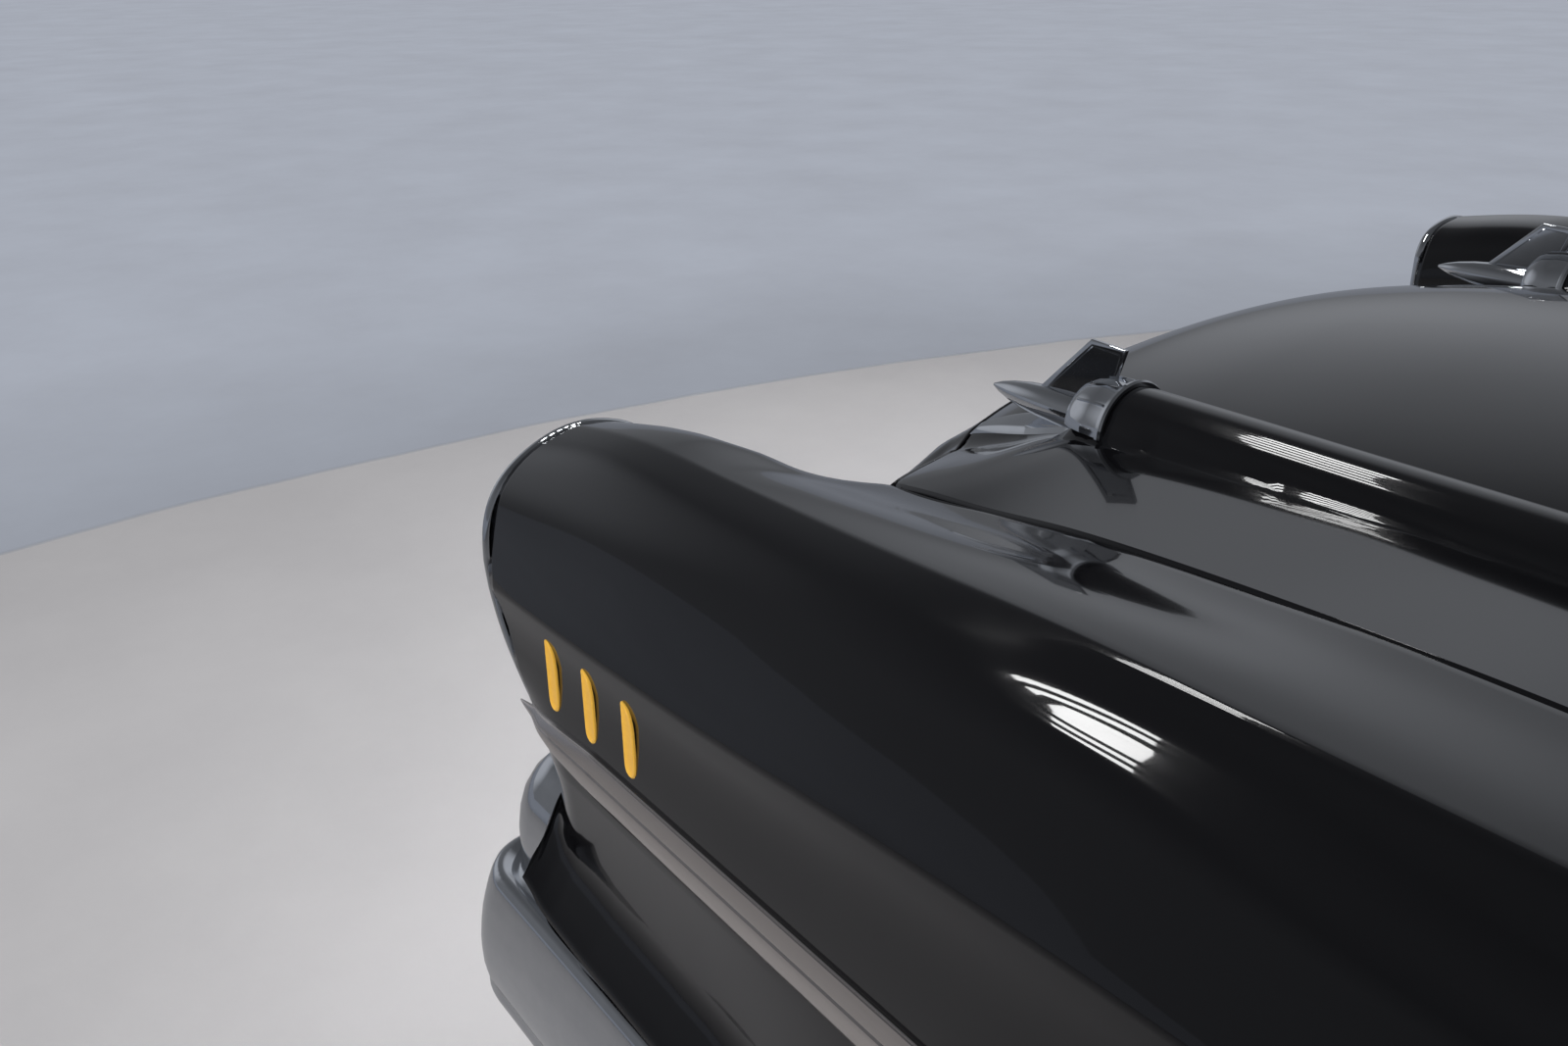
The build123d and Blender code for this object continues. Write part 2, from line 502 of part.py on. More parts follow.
def core_support():
    """Upright frame that carries radiator, latch and horns."""
    front = CORE_X + CORE_THICK
    plate = box((CORE_X, front), (-CORE_HALF, CORE_HALF), (CORE_LOW, CORE_HIGH))
    plate -= box((CORE_X - 9, front + 9),
                 (RADIATOR_WINDOW - RADIATOR_HALF, RADIATOR_HALF - RADIATOR_WINDOW),
                 (RADIATOR_LOW + RADIATOR_WINDOW, RADIATOR_HIGH - RADIATOR_WINDOW))
    shelf = box((CORE_X - SHELF_BACK, front + SHELF_FRONT - CORE_THICK),
                (-SHELF_HALF, SHELF_HALF), (CORE_HIGH - CORE_THICK, CORE_HIGH))
    foot = box((CORE_X - 50, front), (-CORE_HALF + 20, CORE_HALF - 20),
               (CORE_LOW, CORE_LOW + CORE_THICK))
    for side in (1, -1):
        foot -= round_bar((CORE_X - 22, side * CORE_BOLT_Y, CORE_LOW - 5), CORE_BOLT_R, 20,
                          (0, 0, 1))
    return plate + shelf + foot


def radiator():
    rear, front = CORE_X - SEAT - RADIATOR_THICK, CORE_X - SEAT
    shape = box((rear, front), (-RADIATOR_HALF, RADIATOR_HALF), (RADIATOR_LOW, RADIATOR_HIGH))
    for y, z in ((NECK_UPPER_Y, RADIATOR_HIGH - NECK_INSET),
                 (NECK_LOWER_Y, RADIATOR_LOW + NECK_INSET)):
        shape += round_bar((rear + 1, y, z), NECK_R, NECK_LONG + 1, (-1, 0, 0))
    return shape


def hood_latch():
    low = CORE_HIGH + SEAT
    block = box((STRIKER_X - LATCH_LONG / 2, STRIKER_X + LATCH_LONG / 2),
                (-LATCH_WIDE / 2, LATCH_WIDE / 2), (low, low + LATCH_TALL))
    hole = round_bar((STRIKER_X, 0, low - 2), LATCH_HOLE_R, LATCH_TALL + 9, (0, 0, 1))
    return block - hole


def hood_striker():
    pin = round_bar((STRIKER_X, 0, STRIKER_LOW), STRIKER_R, 150, (0, 0, 1))
    return pin - nose_loft(-100, 100 + HOOD_THICK + BRACE_THICK + 2 * SEAT)


def horn():
    start = CORE_X + CORE_THICK + SEAT
    body = round_bar((start, HORN_Y, HORN_Z), HORN_BODY_R, 30, (1, 0, 0))
    rear = Plane((start + 29, HORN_Y, HORN_Z), z_dir=(1, 0, 0)) * Circle(14)
    mouth = Plane((start + HORN_LONG, HORN_Y, HORN_Z), z_dir=(1, 0, 0)) * Circle(HORN_R)
    return body + loft([rear, mouth], ruled=True)


def export(name, shape):
    """Writes a piece in the frame of the cowl bolts."""
    export_step(Pos(0, 0, -MOUNT_HEIGHT) * shape, f"parts/{name}.step")


PAIRED = {
    "fender": fender, "inner_fender": inner_fender, "headlamp_bucket": headlamp_bucket,
    "headlamp_lens": headlamp_lens, "headlamp_bezel": headlamp_bezel,
    "fender_louvres": fender_louvres, "side_moulding": side_moulding,
    "hood_ornament": hood_ornament, "hinge_bracket": hinge_bracket, "hinge_arm": hinge_arm,
    "bumper_guard": bumper_guard, "parking_lamp": parking_lamp,
    "bumper_bracket": bumper_bracket, "horn": horn,
}
SINGLE = {
    "hood": hood, "hood_bracing": hood_bracing, "hood_striker": hood_striker,
    "hood_latch": hood_latch, "header_panel": header, "grille_surround": grille_surround,
    "grille_mesh": grille_mesh, "front_bumper": front_bumper, "upper_bumper_bar": upper_bar,
    "stone_guard": stone_guard, "core_support": core_support, "radiator": radiator,
}

os.makedirs("parts", exist_ok=True)
for name, make in PAIRED.items():
    left = make()
    export(f"{name}_left", left)
    export(f"{name}_right", mirror(left, about=Plane.XZ))
for name, make in SINGLE.items():
    export(name, make())
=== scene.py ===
# %% [markdown]
# # The front end of a 1950s car
# The real thing is the whole sheet metal ahead of the cowl: hood, two fenders with lamp pods,
# grille, bumper and the carriers behind them. Its precise solids come from CAD and are loaded
# first as a fixed frame. Everything that catches the eye, such as the long glossy skins, is
# modelled here over those solids and then takes their place.

# %% Load the frame
import json
from math import cos, pi, radians, sin, sqrt

import bmesh
import bpy
import numpy as np
from mathutils import Matrix, Vector


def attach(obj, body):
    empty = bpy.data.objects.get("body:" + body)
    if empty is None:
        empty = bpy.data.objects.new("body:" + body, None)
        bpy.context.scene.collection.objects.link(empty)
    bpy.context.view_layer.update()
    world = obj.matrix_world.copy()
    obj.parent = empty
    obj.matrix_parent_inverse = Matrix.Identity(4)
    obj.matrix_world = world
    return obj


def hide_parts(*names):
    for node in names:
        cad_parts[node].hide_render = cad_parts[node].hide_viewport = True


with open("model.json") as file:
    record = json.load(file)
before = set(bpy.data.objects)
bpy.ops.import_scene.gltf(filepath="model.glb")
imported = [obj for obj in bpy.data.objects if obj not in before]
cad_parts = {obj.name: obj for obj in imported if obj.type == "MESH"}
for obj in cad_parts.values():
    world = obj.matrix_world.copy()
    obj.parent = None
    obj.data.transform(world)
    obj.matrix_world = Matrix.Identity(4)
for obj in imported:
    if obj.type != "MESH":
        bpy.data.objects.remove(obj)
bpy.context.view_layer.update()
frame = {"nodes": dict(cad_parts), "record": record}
nodes = frame["nodes"]

# %% [markdown]
# Body shops measure such panels in millimetres, with heights taken from the road. The frame is
# in metres with its origin at the cowl bolts, 670 mm above the road. One small function turns
# the first into the second, so that every table below can hold plain workshop numbers.

# %% Workshop millimetres to the frame
MOUNT_HEIGHT = 670.0


def place(x, y, z):
    """Point of the frame from millimetres: forward from the cowl, left, above the road."""
    return Vector((x, y, z - MOUNT_HEIGHT)) / 1000


# %% [markdown]
# The picture was taken beside the driver's door, from above the fender, looking forward and
# down. The camera's place, direction and lens follow from the bumper's width, the mirrored
# pairs of hood and fender and their straight lines. A camera looks along its own -Z, so its
# matrix is built from three axes: right, up and back.

# %% Camera
CAMERA_AT = Vector((0.1614, 1.3991, 0.7461))
YAW, PITCH, ROLL = -0.62103, -0.40971, -0.01852

forward = Vector((cos(PITCH) * cos(YAW), cos(PITCH) * sin(YAW), sin(PITCH)))
level_right = Vector((sin(YAW), -cos(YAW), 0))
level_up = level_right.cross(forward)
right = level_right * cos(ROLL) + level_up * sin(ROLL)
up = level_up * cos(ROLL) - level_right * sin(ROLL)
lens = bpy.data.cameras.new("camera")
lens.lens, lens.sensor_width, lens.sensor_fit = 32.316, 36.0, "HORIZONTAL"
camera = bpy.data.objects.new("camera", lens)
axes = Matrix((right, up, -forward)).transposed().to_4x4()
camera.matrix_world = Matrix.Translation(CAMERA_AT) @ axes
bpy.context.scene.collection.objects.link(camera)
bpy.context.scene.camera = camera
bpy.context.scene.view_settings.view_transform = "Standard"
print("camera at", tuple(CAMERA_AT), "lens", lens.lens)

# %% [markdown]
# A material is a small graph of nodes. One function adds a node, sets what is given by name,
# and links any socket that is passed in. Short names for the steps that come back, such as
# noise or a change of range, let each finish below read as a list. Colours are written as the
# sRGB hex values that a paint chart gives, and turned to linear light in one place.

# %% Helpers for materials
def linear(hex_colour):
    """Linear RGBA from an sRGB hex colour such as 'C0C0C0'."""
    parts = [int(hex_colour[i:i + 2], 16) / 255 for i in (0, 2, 4)]
    return (*[p / 12.92 if p <= 0.04045 else ((p + 0.055) / 1.055) ** 2.4 for p in parts], 1.0)


def add(tree, kind, inputs=None, **settings):
    """Adds a node; an input is given by name or number, as a constant or as a socket to link."""
    made = tree.nodes.new("ShaderNode" + kind)
    for name, value in settings.items():
        setattr(made, name, value)
    for name, value in (inputs or {}).items():
        if isinstance(value, bpy.types.NodeSocket):
            tree.links.new(value, made.inputs[name])
        else:
            made.inputs[name].default_value = value
    return made


def new_graph(owner):
    """Empties the graph of a new material or world and gives it."""
    owner.use_nodes = True
    owner.node_tree.nodes.clear()
    return owner.node_tree


def new_material(name):
    """A material, its empty graph and the coordinates of its object."""
    material = bpy.data.materials.new(name)
    tree = new_graph(material)
    return material, tree, add(tree, "TexCoord").outputs["Object"]


def noise(tree, where, scale, **more):
    return add(tree, "TexNoise", {"Vector": where, "Scale": scale, **more}).outputs[0]


def ranged(tree, value, low, high, start=0.0, end=1.0, **settings):
    """Value mapped from low..high to start..end."""
    return add(tree, "MapRange", {"Value": value, "From Min": low, "From Max": high,
                                  "To Min": start, "To Max": end}, **settings).outputs[0]


def blend(tree, share, first, second):
    """Colour between two, each a hex colour or a socket."""
    first, second = (linear(c) if isinstance(c, str) else c for c in (first, second))
    return add(tree, "Mix", {"Factor": share, 6: first, 7: second}, data_type="RGBA").outputs[2]


def calculate(tree, operation, *values):
    return add(tree, "Math", dict(enumerate(values)), operation=operation).outputs[0]


def vector(tree, operation, first, second, output="Vector"):
    made = add(tree, "VectorMath", {0: first, 1: second}, operation=operation)
    return made.outputs[output]


def bump(tree, height, strength, distance):
    return add(tree, "Bump", {"Height": height, "Strength": strength,
                              "Distance": distance}).outputs[0]


def principled(material, inputs):
    """Ends a material's graph in one shader and gives the material."""
    shader = add(material.node_tree, "BsdfPrincipled", inputs)
    add(material.node_tree, "OutputMaterial", {"Surface": shader.outputs[0]})
    return material


def link_object(name, data):
    """Object at the origin that shows a mesh or holds a lamp."""
    made = bpy.data.objects.new(name, data)
    bpy.context.scene.collection.objects.link(made)
    return made


# %% [markdown]
# The floor is pale sealed concrete, and the wall behind is painted a cool grey. Both are one
# flat disc here: seen from above, the wall fills everything past a gently curved line, so the
# disc is painted grey-blue outside that line, with painted shade that darkens it a little at the
# wall's foot. Where paint and chrome mirror them, floor and wall are drawn at half their colour:
# painted shade in the reflections. A standing wall was rejected, because it would hide the car
# in views from the front.

# %% Floor and backdrop
WALL_CENTRE, WALL_RADIUS = (-3.851, 0.234, 0.0), 7.75


def stage_material():
    """Sealed concrete with faint clouding, and painted plaster beyond the wall's line."""
    material, tree, where = new_material("sealed_concrete_and_painted_plaster")
    clouds = noise(tree, where, 1.3, Detail=7.0, Roughness=0.65)
    concrete = blend(tree, clouds, "C3C1C3", "DAD8D9")
    plaster = blend(tree, clouds, "9DA1AB", "AEB4C0")
    level = vector(tree, "MULTIPLY", where, (1.0, 1.0, 0.0))
    away = vector(tree, "DISTANCE", level, WALL_CENTRE, "Value")
    edge = calculate(tree, "MULTIPLY_ADD", noise(tree, where, 2.0), 0.05, away)
    beyond = ranged(tree, edge, WALL_RADIUS + 0.02, WALL_RADIUS + 0.05)
    # Painted shade: the wall's colour is dimmed to 0.8 at its foot and rises to full over 1.6 m,
    # standing in for the shade where wall meets floor.
    foot = ranged(tree, edge, WALL_RADIUS, WALL_RADIUS + 1.6, 0.8, 1.0)
    wall = vector(tree, "MULTIPLY", plaster, foot)
    colour = blend(tree, beyond, concrete, wall)
    grit = bump(tree, noise(tree, where, 60.0, Detail=4.0), 0.08, 0.002)
    path = add(tree, "LightPath").outputs
    # Painted shade in the reflections: what glossy rays see of the floor, and of the wall's glow,
    # is drawn at half its colour and strength.
    mirrored = ranged(tree, path["Is Glossy Ray"], 0.0, 1.0, 1.0, 0.5)
    shader = add(tree, "BsdfPrincipled", {
        "Base Color": vector(tree, "MULTIPLY", colour, mirrored), "Roughness": 0.75,
        "Normal": grit, "Specular IOR Level": 0.2})
    seen = calculate(tree, "MAXIMUM", path["Is Camera Ray"], path["Is Glossy Ray"])
    lit = calculate(tree, "MULTIPLY", seen, beyond)
    glow = add(tree, "Emission", {"Color": wall, "Strength": mirrored})
    both = add(tree, "MixShader", {0: lit, 1: shader.outputs[0], 2: glow.outputs[0]})
    add(tree, "OutputMaterial", {"Surface": both.outputs[0]})
    return material


bm = bmesh.new()
bmesh.ops.create_circle(bm, cap_ends=True, segments=96, radius=40.0)
bmesh.ops.translate(bm, verts=bm.verts, vec=place(0, 0, 0))
floor_mesh = bpy.data.meshes.new("floor")
bm.to_mesh(floor_mesh)
bm.free()
floor = link_object("floor", floor_mesh)
floor_mesh.materials.append(stage_material())
print("floor at", round(floor_mesh.vertices[0].co.z, 3))

# %% [markdown]
# Gloss black paint has hardly any colour of its own: what the eye reads is the room mirrored
# in it. So the light matters as much as the shape. The room is a pale wall ahead, a dimmer
# ceiling and darker surroundings behind the photographer. The world gives that by height and
# by heading, with two soft glows where the wall is brightest.

# %% World
GLOWS = (((0.52, -0.76, 0.38), 0.30), ((0.95, 0.22, 0.20), 0.28))    # direction and strength


def room_light():
    world = bpy.data.worlds.new("studio")
    bpy.context.scene.world = world
    tree = new_graph(world)
    heading = add(tree, "TexCoord").outputs["Generated"]
    ahead = vector(tree, "DOT_PRODUCT", heading, (0.81, -0.58, 0.0), "Value")
    height = add(tree, "SeparateXYZ", {0: heading}).outputs["Z"]
    level = calculate(tree, "MULTIPLY", ranged(tree, ahead, -0.5, 0.8, 0.14, 0.2),
                      ranged(tree, height, 0.3, 0.75, 1.0, 0.5))
    for direction, strength in GLOWS:
        towards = vector(tree, "DOT_PRODUCT", heading, direction, "Value")
        glow = ranged(tree, towards, 0.90, 0.99, 0.0, strength,
                      interpolation_type="SMOOTHSTEP")
        level = calculate(tree, "ADD", level, glow)
    shown = add(tree, "LightPath").outputs["Is Camera Ray"]
    strength = add(tree, "Mix", {"Factor": shown, "A": level, "B": 0.5})
    light = add(tree, "Background", {"Color": linear("E6EAF2"), "Strength": strength.outputs[0]})
    add(tree, "OutputWorld", {"Surface": light.outputs[0]})


room_light()

# %% [markdown]
# Soft boxes do the rest. A wide one hangs high ahead and to the right like a window, a second
# fills the floor from overhead, and a narrow one on the left reaches the gilt trim. None of
# them is mirrored in the paint. Six short fittings in a row above the nose are, and give the
# bright streaks in the hollow and on the hood's ridge.

# %% Lamps
def soft_box(name, at, aim, width, length, power, mirrored=False, spread=180.0):
    light = bpy.data.lights.new(name, "AREA")
    light.shape, light.size, light.size_y, light.energy = "RECTANGLE", width, length, power
    light.spread = radians(spread)
    made = link_object(name, light)
    turn = (Vector(aim) - Vector(at)).to_track_quat("-Z", "Y").to_matrix().to_4x4()
    made.matrix_world = Matrix.Translation(at) @ turn
    made.visible_glossy = mirrored


for count in range(6):
    across = -0.34 + 0.28 * count
    soft_box(f"fitting_{count}", (2.24, across, 2.75), (2.24, across, 0.0), 0.42, 0.14, 3.0, True)
soft_box("window_side", (2.9, -2.2, 2.3), (0.8, 0.0, 0.2), 2.6, 2.0, 30.0)
soft_box("overhead", (1.6, 0.6, 3.4), (1.6, 0.4, 0.0), 5.0, 5.0, 114.0)
soft_box("trim_side", (0.0, 3.3, 1.5), (1.15, 0.9, 0.09), 1.0, 1.0, 5.5, spread=36.0)

# %% [markdown]
# Body panels of the time were sprayed in many coats of lacquer or enamel, flatted and
# polished. A near-black base under a clear, sharp coat gives that deep gloss. Polishing leaves
# a faint waviness of a few millimetres, called orange peel, and a trace of dust dulls the
# reflection in patches.

# %% Black enamel
def black_enamel():
    material, tree, where = new_material("polished_black_enamel")
    # Orange peel waves are about 4 mm long: 1000 mm / 4 mm = scale 250.
    peel = bump(tree, noise(tree, where, 250.0, Detail=1.0), 0.02, 0.0004)
    dull = ranged(tree, noise(tree, where, 9.0, Detail=5.0), 0.3, 0.75, 0.08, 0.17)
    return principled(material, {
        "Base Color": linear("0B0B0D"), "Roughness": dull, "IOR": 1.5, "Normal": peel,
        "Specular IOR Level": 0.1, "Coat Weight": 1.0, "Coat Roughness": 0.03})


# %% [markdown]
# Bumpers, lamp rims and ornaments are pressed or cast steel and zinc under copper, nickel and
# a thin film of chromium: a true mirror with a cool tint. Age and polish leave a haze that is
# only just visible, and slow waves where the metal was pressed. The side moulding is rolled
# stainless strip, buffed along its length; the marks of the wheel are far finer than a pixel,
# so the grain is drawn about 2 mm wide and very long. Gold anodising is a dyed, clear oxide
# over aluminium, a metal seen through amber.

# %% Plated, buffed and anodised metal
def metal(name, light, dark, roughness, spread, grain=(40.0, 40.0, 40.0), waves=0.0,
          coat=0.0, metallic=1.0):
    """Bare or plated metal: two close tones, uneven polish, and a grain that may be drawn out."""
    material, tree, where = new_material(name)
    stretched = add(tree, "Mapping", {"Vector": where, "Scale": grain}).outputs[0]
    drawn = noise(tree, stretched, 1.0, Detail=6.0, Roughness=0.6)
    swell = noise(tree, where, 20.0, Detail=1.0)
    return principled(material, {
        "Base Color": blend(tree, drawn, dark, light), "Metallic": metallic,
        "Roughness": ranged(tree, drawn, 0.3, 0.7, roughness, roughness + spread),
        "Normal": bump(tree, swell, waves, 0.002), "Coat Weight": coat, "Coat Roughness": 0.1})


# %% [markdown]
# The far sides of the panels, the hood's frame and the brackets get a flat black stoving paint
# instead of enamel. Road dust settles on whatever faces up, which the surface normal gives.

# %% Painted and dusty undersides
def dusty_paint(name, paint, dust, roughness, amount):
    """Satin paint with a film of dust on its upward faces and in patches."""
    material, tree, where = new_material(name)
    facing = add(tree, "NewGeometry").outputs["Normal"]
    upward = add(tree, "SeparateXYZ", {0: facing}).outputs["Z"]
    patches = noise(tree, where, 14.0, Detail=6.0)
    lying = ranged(tree, upward, 0.1, 1.0, 0.15, 1.0)
    film = calculate(tree, "MULTIPLY", patches, lying)
    share = calculate(tree, "MULTIPLY", film, amount)
    return principled(material, {
        "Base Color": blend(tree, share, paint, dust),
        "Roughness": ranged(tree, patches, 0.0, 1.0, roughness, roughness + 0.25),
        "Normal": bump(tree, noise(tree, where, 400.0), 0.12, 0.0005)})


# %% [markdown]
# A sealed-beam lamp is pressed from clear glass, with flutes moulded into its inner face that
# spread the beam sideways. The parking lamps have a thinner ribbed lens. Glass shows as what
# lies behind it, so each headlamp's lens gets a silvered cup at its back.

# %% Lamp glass
def lamp_glass(name, tint, rib_pitch, roughness):
    """Clear moulded glass with upright ribs; the pitch is in millimetres."""
    material, tree, where = new_material(name)
    ribs = add(tree, "TexWave", {"Vector": where, "Scale": 1000 / rib_pitch / 6.28,
                                 "Distortion": 0.0}, bands_direction="Y").outputs["Fac"]
    return principled(material, {
        "Base Color": linear(tint), "Roughness": roughness, "IOR": 1.5,
        "Transmission Weight": 0.9, "Normal": bump(tree, ribs, 0.5, 0.002)})


# %% [markdown]
# Each finish is made once and kept under the name of its slot. The CAD solids get the same
# ones, so that whatever isn't modelled anew below matches the rest.

# %% All finishes
FINISHES = {
    "black_enamel": black_enamel(),
    "chrome": metal("chromium_plate", "E6E8EB", "D6D9DE", 0.03, 0.05, waves=0.04),
    "bright_trim": metal("buffed_stainless_strip", "F0EAE6", "DCD5D1", 0.12, 0.12,
                         grain=(4.0, 500.0, 500.0)),
    "gold_trim": metal("gold_anodised_aluminium", "FFCB55", "F2B445", 0.34, 0.05,
                       grain=(60.0, 60.0, 260.0), coat=0.3, metallic=0.35),
    "zinc_plate": metal("zinc_plated_pressing", "BDBBB2", "96958E", 0.32, 0.2,
                        grain=(90.0, 90.0, 90.0), waves=0.1),
    "underside_paint": dusty_paint("stoved_black_chassis_paint", "0E0E0F", "5A544B", 0.38, 0.35),
    "radiator_black": dusty_paint("radiator_japan_black", "101010", "4A463F", 0.45, 0.3),
    "horn_black": dusty_paint("horn_semi_gloss_black", "0C0C0D", "3C3833", 0.3, 0.2),
    "lamp_glass": lamp_glass("pressed_clear_glass", "F4F8FA", 9.0, 0.02),
    "parking_lens": lamp_glass("ribbed_clear_acrylic", "F3F3F0", 5.0, 0.08),
}
REFLECTOR = metal("silvered_reflector", "F2F2F0", "E6E6E4", 0.05, 0.04)
for part in frame["record"]["subparts"]:
    node = nodes[part["node"]]
    node.data.materials.clear()
    node.data.materials.append(FINISHES[part["material_slot"]])
print("finishes:", len(FINISHES))

# %% [markdown]
# The skins of a car are drawn as sections across the body, with smooth lines running through
# them from front to rear. The same is done here: a table holds a few points per section, a
# cubic spline joins them across and along, and a grid of faces is laid on the result. A
# natural spline has no sudden change of bend, which a mirror-like surface would show at once.

# %% Smooth curves through a table
def spline_weights(knots, at):
    """Rows of weights: multiplied by the values at the knots, they give a natural cubic."""
    knots, at = np.asarray(knots, float), np.asarray(at, float)
    gaps = np.diff(knots)
    count = len(knots)
    left, right_side = np.zeros((count, count)), np.zeros((count, count))
    left[0, 0] = left[-1, -1] = 1.0
    for i in range(1, count - 1):
        left[i, i - 1:i + 2] = gaps[i - 1], 2 * (gaps[i - 1] + gaps[i]), gaps[i]
        right_side[i, i - 1:i + 2] = (6 / gaps[i - 1], -6 / gaps[i - 1] - 6 / gaps[i],
                                      6 / gaps[i])
    bend = np.linalg.solve(left, right_side)
    span = np.clip(np.searchsorted(knots, at) - 1, 0, count - 2)
    h = gaps[span]
    b = (at - knots[span]) / h
    a = 1 - b
    here, after = np.eye(count)[span], np.eye(count)[span + 1]
    return (a[:, None] * here + b[:, None] * after
            + ((a ** 3 - a) * h * h / 6)[:, None] * bend[span]
            + ((b ** 3 - b) * h * h / 6)[:, None] * bend[span + 1])


def glide(knots, values, at):
    """Smooth curve that never swings past its knots, for lines with a sudden turn."""
    knots, values = np.asarray(knots, float), np.asarray(values, float)
    gaps = np.diff(knots)
    slopes = np.diff(values) / gaps
    tangent = np.zeros(len(knots))
    same = slopes[:-1] * slopes[1:] > 0
    w = gaps[:-1] + gaps[1:]
    joint = 3 * w / ((w + gaps[1:]) / np.where(same, slopes[:-1], 1)
                     + (w + gaps[:-1]) / np.where(same, slopes[1:], 1))
    tangent[1:-1] = np.where(same, joint, 0)
    tangent[0], tangent[-1] = slopes[0], slopes[-1]
    span = np.clip(np.searchsorted(knots, at) - 1, 0, len(knots) - 2)
    h = gaps[span]
    t = (np.asarray(at, float) - knots[span]) / h
    return ((2 * t ** 3 - 3 * t ** 2 + 1) * values[span]
            + (t ** 3 - 2 * t ** 2 + t) * h * tangent[span]
            + (3 * t ** 2 - 2 * t ** 3) * values[span + 1]
            + (t ** 3 - t ** 2) * h * tangent[span + 1])


def along(table, x):
    """Smooth value at x of a table of pairs."""
    return glide(*zip(*table), x)


def between(table, x):
    """Value at x of a table of pairs, straight between its points."""
    return np.interp(x, *zip(*table))


def step(low, high, value):
    """Soft step from 0 at low to 1 at high."""
    t = np.clip((value - low) / (high - low), 0, 1)
    return t * t * (3 - 2 * t)


def looped(outline):
    """Points of an outline with the first one again at the end."""
    return np.array(outline + outline[:1], float)


def picked(table, v):
    """Columns of a table, each at the row that v falls on; v is 0 to 1 down the table."""
    return np.array(table).T[:, np.rint(v * (len(table) - 1)).astype(int)]


# %% [markdown]
# A grid is the natural start for sheet metal. The function below makes one with Blender's own
# grid operator, and then asks a surface function for the place of every vertex: u runs along
# the grid and v across it, both from 0 to 1. The mesh functions work in millimetres, and a
# piece is moved to the frame only when it is finished.

# %% Grids, mirrored pairs and finished pieces
SHEET = 1.2                         # thickness of the body's sheet steel, in millimetres


def grid(columns, rows, surface):
    """bmesh grid whose vertices lie at surface(u, v), with faces that look to +u x +v."""
    bm = bmesh.new()
    bmesh.ops.create_grid(bm, x_segments=columns, y_segments=rows, size=1.0)
    bm.verts.ensure_lookup_table()
    uv = np.array([v.co[:2] for v in bm.verts]) / 2 + 0.5
    for vertex, co in zip(bm.verts, surface(uv[:, 0], uv[:, 1])):
        vertex.co = co
    return bm


def border(bm, test):
    """Open edges whose two ends both pass the test."""
    return [e for e in bm.edges if e.is_boundary and test(e.verts[0]) and test(e.verts[1])]


def only(kind, geometry):
    return [g for g in geometry if isinstance(g, kind)]


def fold(bm, edges, move):
    """Extrudes open edges by a fixed move, or to what a function gives for each vertex."""
    made = bmesh.ops.extrude_edge_only(bm, edges=edges)["geom"]
    for vertex in only(bmesh.types.BMVert, made):
        vertex.co = move(vertex.co) if callable(move) else vertex.co + Vector(move)
    return only(bmesh.types.BMEdge, made)


def raise_faces(bm, move):
    """Extrudes all faces by a move, which turns a flat sheet into a solid."""
    made = bmesh.ops.extrude_face_region(bm, geom=bm.faces[:])["geom"]
    bmesh.ops.translate(bm, vec=move, verts=only(bmesh.types.BMVert, made))


def delete_faces(bm, faces):
    bmesh.ops.delete(bm, geom=faces, context="FACES")


def sharp_edges(bm, angle):
    """Edges whose two faces turn by more than an angle."""
    return [e for e in bm.edges if e.is_manifold and e.calc_face_angle() > angle]


def round_edges(bm, edges, width, segments=3):
    bmesh.ops.bevel(bm, geom=edges, offset=width, segments=segments, profile=0.5,
                    affect="EDGES", material=-1)


def closed(bm):
    """Welds a grid whose first and last columns meet."""
    bmesh.ops.remove_doubles(bm, verts=bm.verts, dist=0.05)
    return bm


def merge(*meshes):
    """One bmesh from several, for a piece made of soldered or screwed parts."""
    joined = bmesh.new()
    for part in meshes:
        carrier = bpy.data.meshes.new("part")
        part.to_mesh(carrier)
        part.free()
        joined.from_mesh(carrier)
        bpy.data.meshes.remove(carrier)
    return joined


def finish(name, bm, slot, node=None, body="front_clip", material=None, thickness=0.0,
           mirrored=False, angle=None):
    """Turns a bmesh in workshop millimetres into a piece that takes the place of a CAD node."""
    if mirrored:
        bmesh.ops.scale(bm, verts=bm.verts, vec=(1, -1, 1))
        bmesh.ops.reverse_faces(bm, faces=bm.faces)
    bmesh.ops.recalc_face_normals(bm, faces=bm.faces)
    for vertex in bm.verts:
        vertex.co = place(*vertex.co)
    mesh = bpy.data.meshes.new(name)
    bm.to_mesh(mesh)
    bm.free()
    mesh.polygons.foreach_set("use_smooth", [True] * len(mesh.polygons))
    if angle:
        mesh.set_sharp_from_angle(angle=angle)
    mesh.materials.append(material or FINISHES[slot])
    piece = link_object(name, mesh)
    if thickness:
        wall = piece.modifiers.new("sheet", "SOLIDIFY")
        wall.thickness, wall.offset = thickness / 1000, -1.0
    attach(piece, body)
    if node:
        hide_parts(node)
    print(name, len(mesh.polygons), "faces")


def pair(name, make, slot, node=None, **settings):
    """A left piece and its mirror image, each in place of the CAD node of its side."""
    for side, mirrored in (("left", False), ("right", True)):
        finish(f"{name}_{side}", make(), slot, node and f"{node}_{side}", mirrored=mirrored,
               **settings)


# %% [markdown]
# The fender is one deep pressing. A crest runs back from the brow over the lamp, a second line
# turns the top into the upright side, and a hollow opens between the two towards the rear.
# Beside the hood the skin folds down into a gutter. The section table names those lines, and
# the two that stay crisp, crest and crease, end one spline and start the next.

# %% Fender sections
STATIONS = (0, 200, 400, 560, 680, 800, 950, 1103, 1240, 1360)
